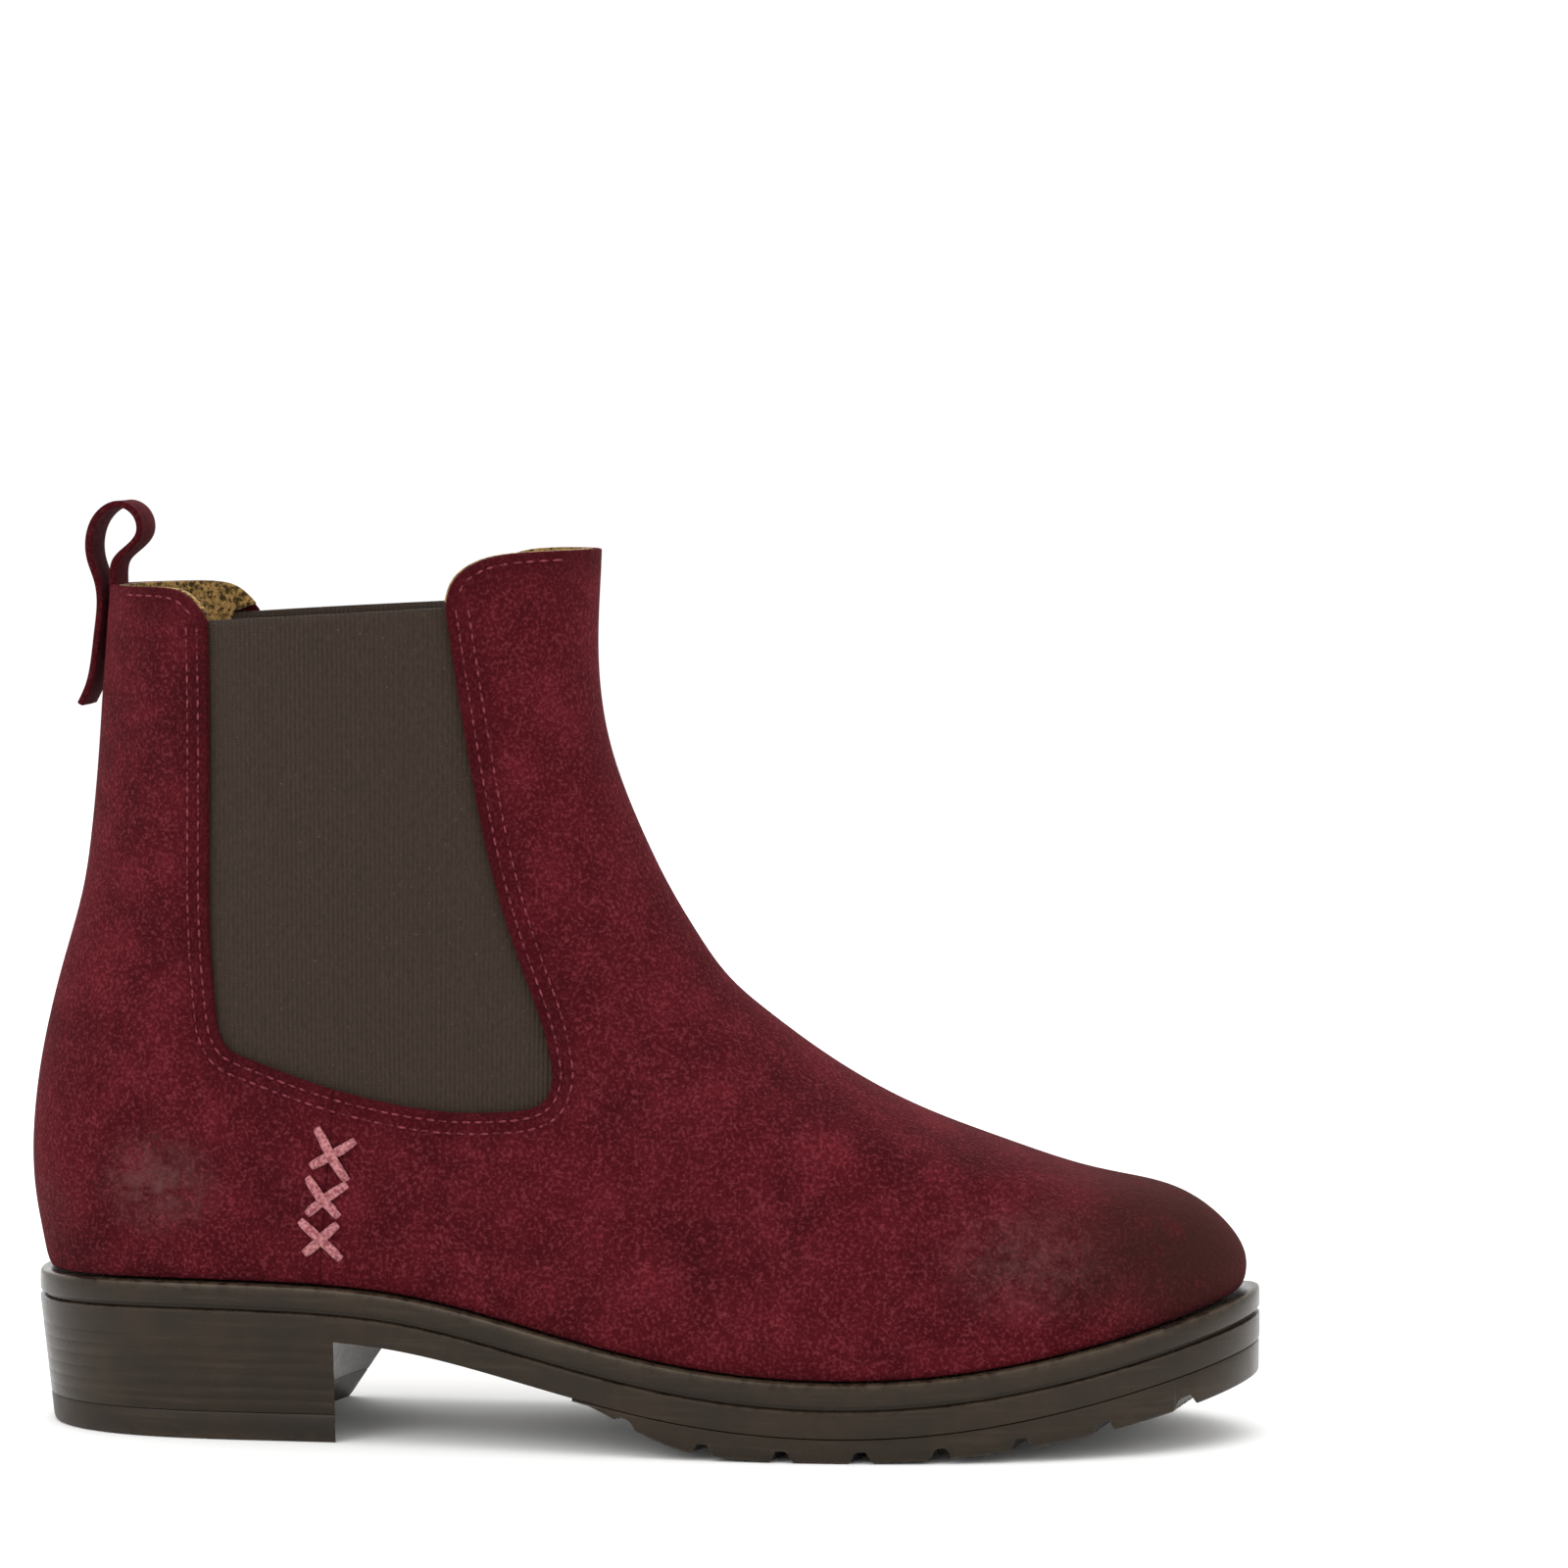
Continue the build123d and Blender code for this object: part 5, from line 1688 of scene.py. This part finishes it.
    def top_piece(self) -> None:
        """The rubber lift that the heel wears down on."""
        profile = ((0.0, 0.0, -0.9, 0.0), (0.0, 0.2, -0.25, 0.5), (0.8, 0.9, 0.0, 0.3),
                   (3.0, 3.0, 0.0, 0.0), (6.0, 5.9, 0.0, 0.0), (6.4, 6.4, -0.3, 0.0))
        levels = [Level(self.drawn_in(drawn) + growth, level_at(height), wear_and_highlight)
                  for drawn, height, growth, wear_and_highlight in profile]
        stops = np.linspace(0, self.heel_stop, self.heel_steps)
        lift = self.moulded("heel_top_piece", levels, stops, 24, heel=True)
        lift.data.materials[0] = self.lift_rubber
        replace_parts(lift, "heel_lift")


@dataclass
class Footbed:
    """The sock lining that the foot stands on, dished over its foam."""

    last: Last
    material: bpy.types.Material
    lift: float = 9.6
    growth: float = -4.2
    thickness: float = 1.1
    edge: float = 0.3
    dish: float = 0.5

    def build(self) -> None:
        """Lay the sock lining over the footbed."""
        bm = bmesh.new()
        bmesh.ops.create_grid(bm, x_segments=120, y_segments=24, size=0.5)
        flat = np.array([vertex.co for vertex in bm.verts])
        run = np.clip((flat[:, 0] + 0.5) * math.pi, 0.01, math.pi - 0.01)
        share = flat[:, 1:2] + 0.5
        sides = []
        for angle in (run, TURN - run):
            height = self.last.feather_height(angle, self.lift)
            sides.append(self.last.at(angle, height, self.growth))
        points = sides[1] + (sides[0] - sides[1]) * share
        points[:, 2] = height_along(FEATHER_LINE, points[:, 0]) + self.lift
        points[:, 2] += self.dish * (2 * share[:, 0] - 1) ** 4
        place_vertices(bm, points)
        bmesh.ops.remove_doubles(bm, verts=bm.verts[:], dist=1e-6)
        bm.normal_update()
        if sum(face.normal.z for face in bm.faces) < 0:
            bmesh.ops.reverse_faces(bm, faces=bm.faces[:])
        piece = finished_object("sock_lining_cloth", bm, self.material)
        give_thickness(piece, self.thickness, self.edge)
        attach(piece, ROOT_BODY)
        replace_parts(piece, "sock_lining")


# ---------------------------------------------------------------- inner pieces
@dataclass(frozen=True)
class InnerPiece:
    """A piece that stays as it is in the frame: its node, its slot and its stock."""

    node: str
    slot: str
    stock: PlainStock

    def dress(self) -> None:
        """Give the frame's piece its own stock."""
        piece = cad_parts[self.node]
        piece.data.materials.clear()
        piece.data.materials.append(self.stock.build())


INNER_PIECES = (
    InnerPiece("toe_puff", "stiffener", PlainStock("thermoplastic_sheet", "#c9c2ad", "#a79f88", 1.5, 0.6)),
    InnerPiece("heel_counter", "stiffener", PlainStock("counter_board", "#c2b492", "#94866a", 1.2, 0.8)),
    InnerPiece("insole_board", "board", PlainStock("cellulose_board", "#a98d63", "#7c6443", 0.8, 0.85)),
    InnerPiece("bottom_filler", "cork", PlainStock("ground_cork", "#8e6a43", "#4b3520", 1.6, 0.9)),
    InnerPiece("footbed_foam", "foam", PlainStock("latex_foam", "#cfc8b8", "#aaa294", 0.7, 0.9)),
    InnerPiece("shank", "steel", PlainStock("spring_steel", "#8a8a8c", "#6b6c70", 2.0, 0.38, 1.0)),
    InnerPiece("heel_nails", "steel",
               PlainStock("bright_steel_nails", "#9a9a9c", "#77787c", 1.0, 0.35, 1.0)),
)


# ---------------------------------------------------------------- studio
@dataclass(frozen=True)
class Softbox:
    """A square area light that faces the boot, in metres and watts."""

    name: str
    place: tuple[float, float, float]
    size: float
    power: float

    def hang(self, target: Vector) -> None:
        """Hang the light at its place, turned towards the target."""
        light = bpy.data.lights.new(self.name, "AREA")
        light.energy = self.power
        light.size = self.size
        lamp = bpy.data.objects.new(self.name, light)
        bpy.context.scene.collection.objects.link(lamp)
        lamp.location = self.place
        lamp.rotation_euler = (target - Vector(self.place)).to_track_quat("-Z", "Y").to_euler()


@dataclass
class Studio:
    """A pale floor, soft light and the camera, placed round the boot in its own millimetres."""

    distance: float = 1350.0
    azimuth: float = 8.0
    height: float = 238.0
    middle_x: float = 139.0
    yaw: float = 6.679
    pitch: float = 3.889
    focal_length: float = 137.25
    sensor_width: float = 36.0
    floor_half: float = 40.0
    floor_colour: str = "#fbfbfa"
    sky_strength: float = 1.06
    target: tuple[float, float, float] = (0.0, 0.0, 0.08)
    lights: tuple[Softbox, ...] = (
        Softbox("overhead", (0.1, -0.1, 1.5), 1.8, 12.0), Softbox("key", (-0.9, -1.5, 1.1), 1.2, 11.0),
        Softbox("fill", (1.3, -1.2, 0.7), 1.2, 3.5), Softbox("rim", (-0.6, 1.5, 0.9), 1.2, 6.0))

    def build(self) -> None:
        """Set up the floor, the lights, the sky and the camera."""
        self.lay_floor()
        for light in self.lights:
            light.hang(Vector(self.target))
        self.set_sky()
        self.place_camera()

    def lay_floor(self) -> None:
        """Lay a plain pale floor, matt as studio paper is."""
        bm = bmesh.new()
        bmesh.ops.create_grid(bm, x_segments=1, y_segments=1, size=self.floor_half)
        material = bpy.data.materials.new("studio_paper")
        material.use_nodes = True
        shader = material.node_tree.nodes["Principled BSDF"]
        shader.inputs["Base Color"].default_value = linear(self.floor_colour)
        shader.inputs["Roughness"].default_value = 0.9
        finished_object("floor", bm, material)

    def set_sky(self) -> None:
        """Light everything evenly from a white sky, and keep colours as they are mixed."""
        world = bpy.data.worlds.new("studio")
        world.use_nodes = True
        background = world.node_tree.nodes["Background"]
        background.inputs["Color"].default_value = linear("#ffffff")
        background.inputs["Strength"].default_value = self.sky_strength
        bpy.context.scene.world = world
        bpy.context.scene.view_settings.view_transform = "Standard"

    def place_camera(self) -> None:
        """Place a long lens, a little above the boot and towards its toe."""
        turn = math.radians(self.azimuth)
        place = np.array([[self.middle_x + self.distance * math.sin(turn),
                           -self.distance * math.cos(turn), self.height]])
        data = bpy.data.cameras.new("camera")
        data.lens = self.focal_length
        data.sensor_width = self.sensor_width
        data.clip_start = 0.05
        data.clip_end = 50.0
        camera = bpy.data.objects.new("camera", data)
        bpy.context.scene.collection.objects.link(camera)
        camera.location = to_frame(place)[0]
        camera.rotation_euler = (math.radians(90 - self.pitch), 0, math.radians(self.yaw))
        bpy.context.scene.camera = camera


def main() -> None:
    """Build the boot piece by piece, then the studio."""
    last = Last()
    suede = Suede("burgundy_suede_brushed").build()
    elastic = Elastic("elastic_webbing_woven").build()
    lining = Cloth("tan_lining_brushed").build()
    rubber = MouldedRubber("brown_rubber_moulded").build()
    lift_rubber = MouldedRubber("black_rubber_top_piece", body="#161311", roughness=0.42).build()
    thread = Cloth("burgundy_thread_twisted", ground="#7d3842", blot="#45131a", blotch=1.0, thread=0.3,
                   sheen=0.0).build()
    cord = Cloth("rose_cord_waxed", ground="#b07678", blot="#7e434a", blotch=0.9, thread=0.4,
                 sheen=0.05).build()
    upper = Upper(last, suede, elastic, lining)
    upper.build()
    Stitching(last, upper, thread, cord).build()
    PullLoop(suede).build()
    Bottom(last, rubber, lift_rubber).build()
    Footbed(last, lining).build()
    for piece in INNER_PIECES:
        piece.dress()
    Studio().build()


if __name__ == "__main__":
    main()
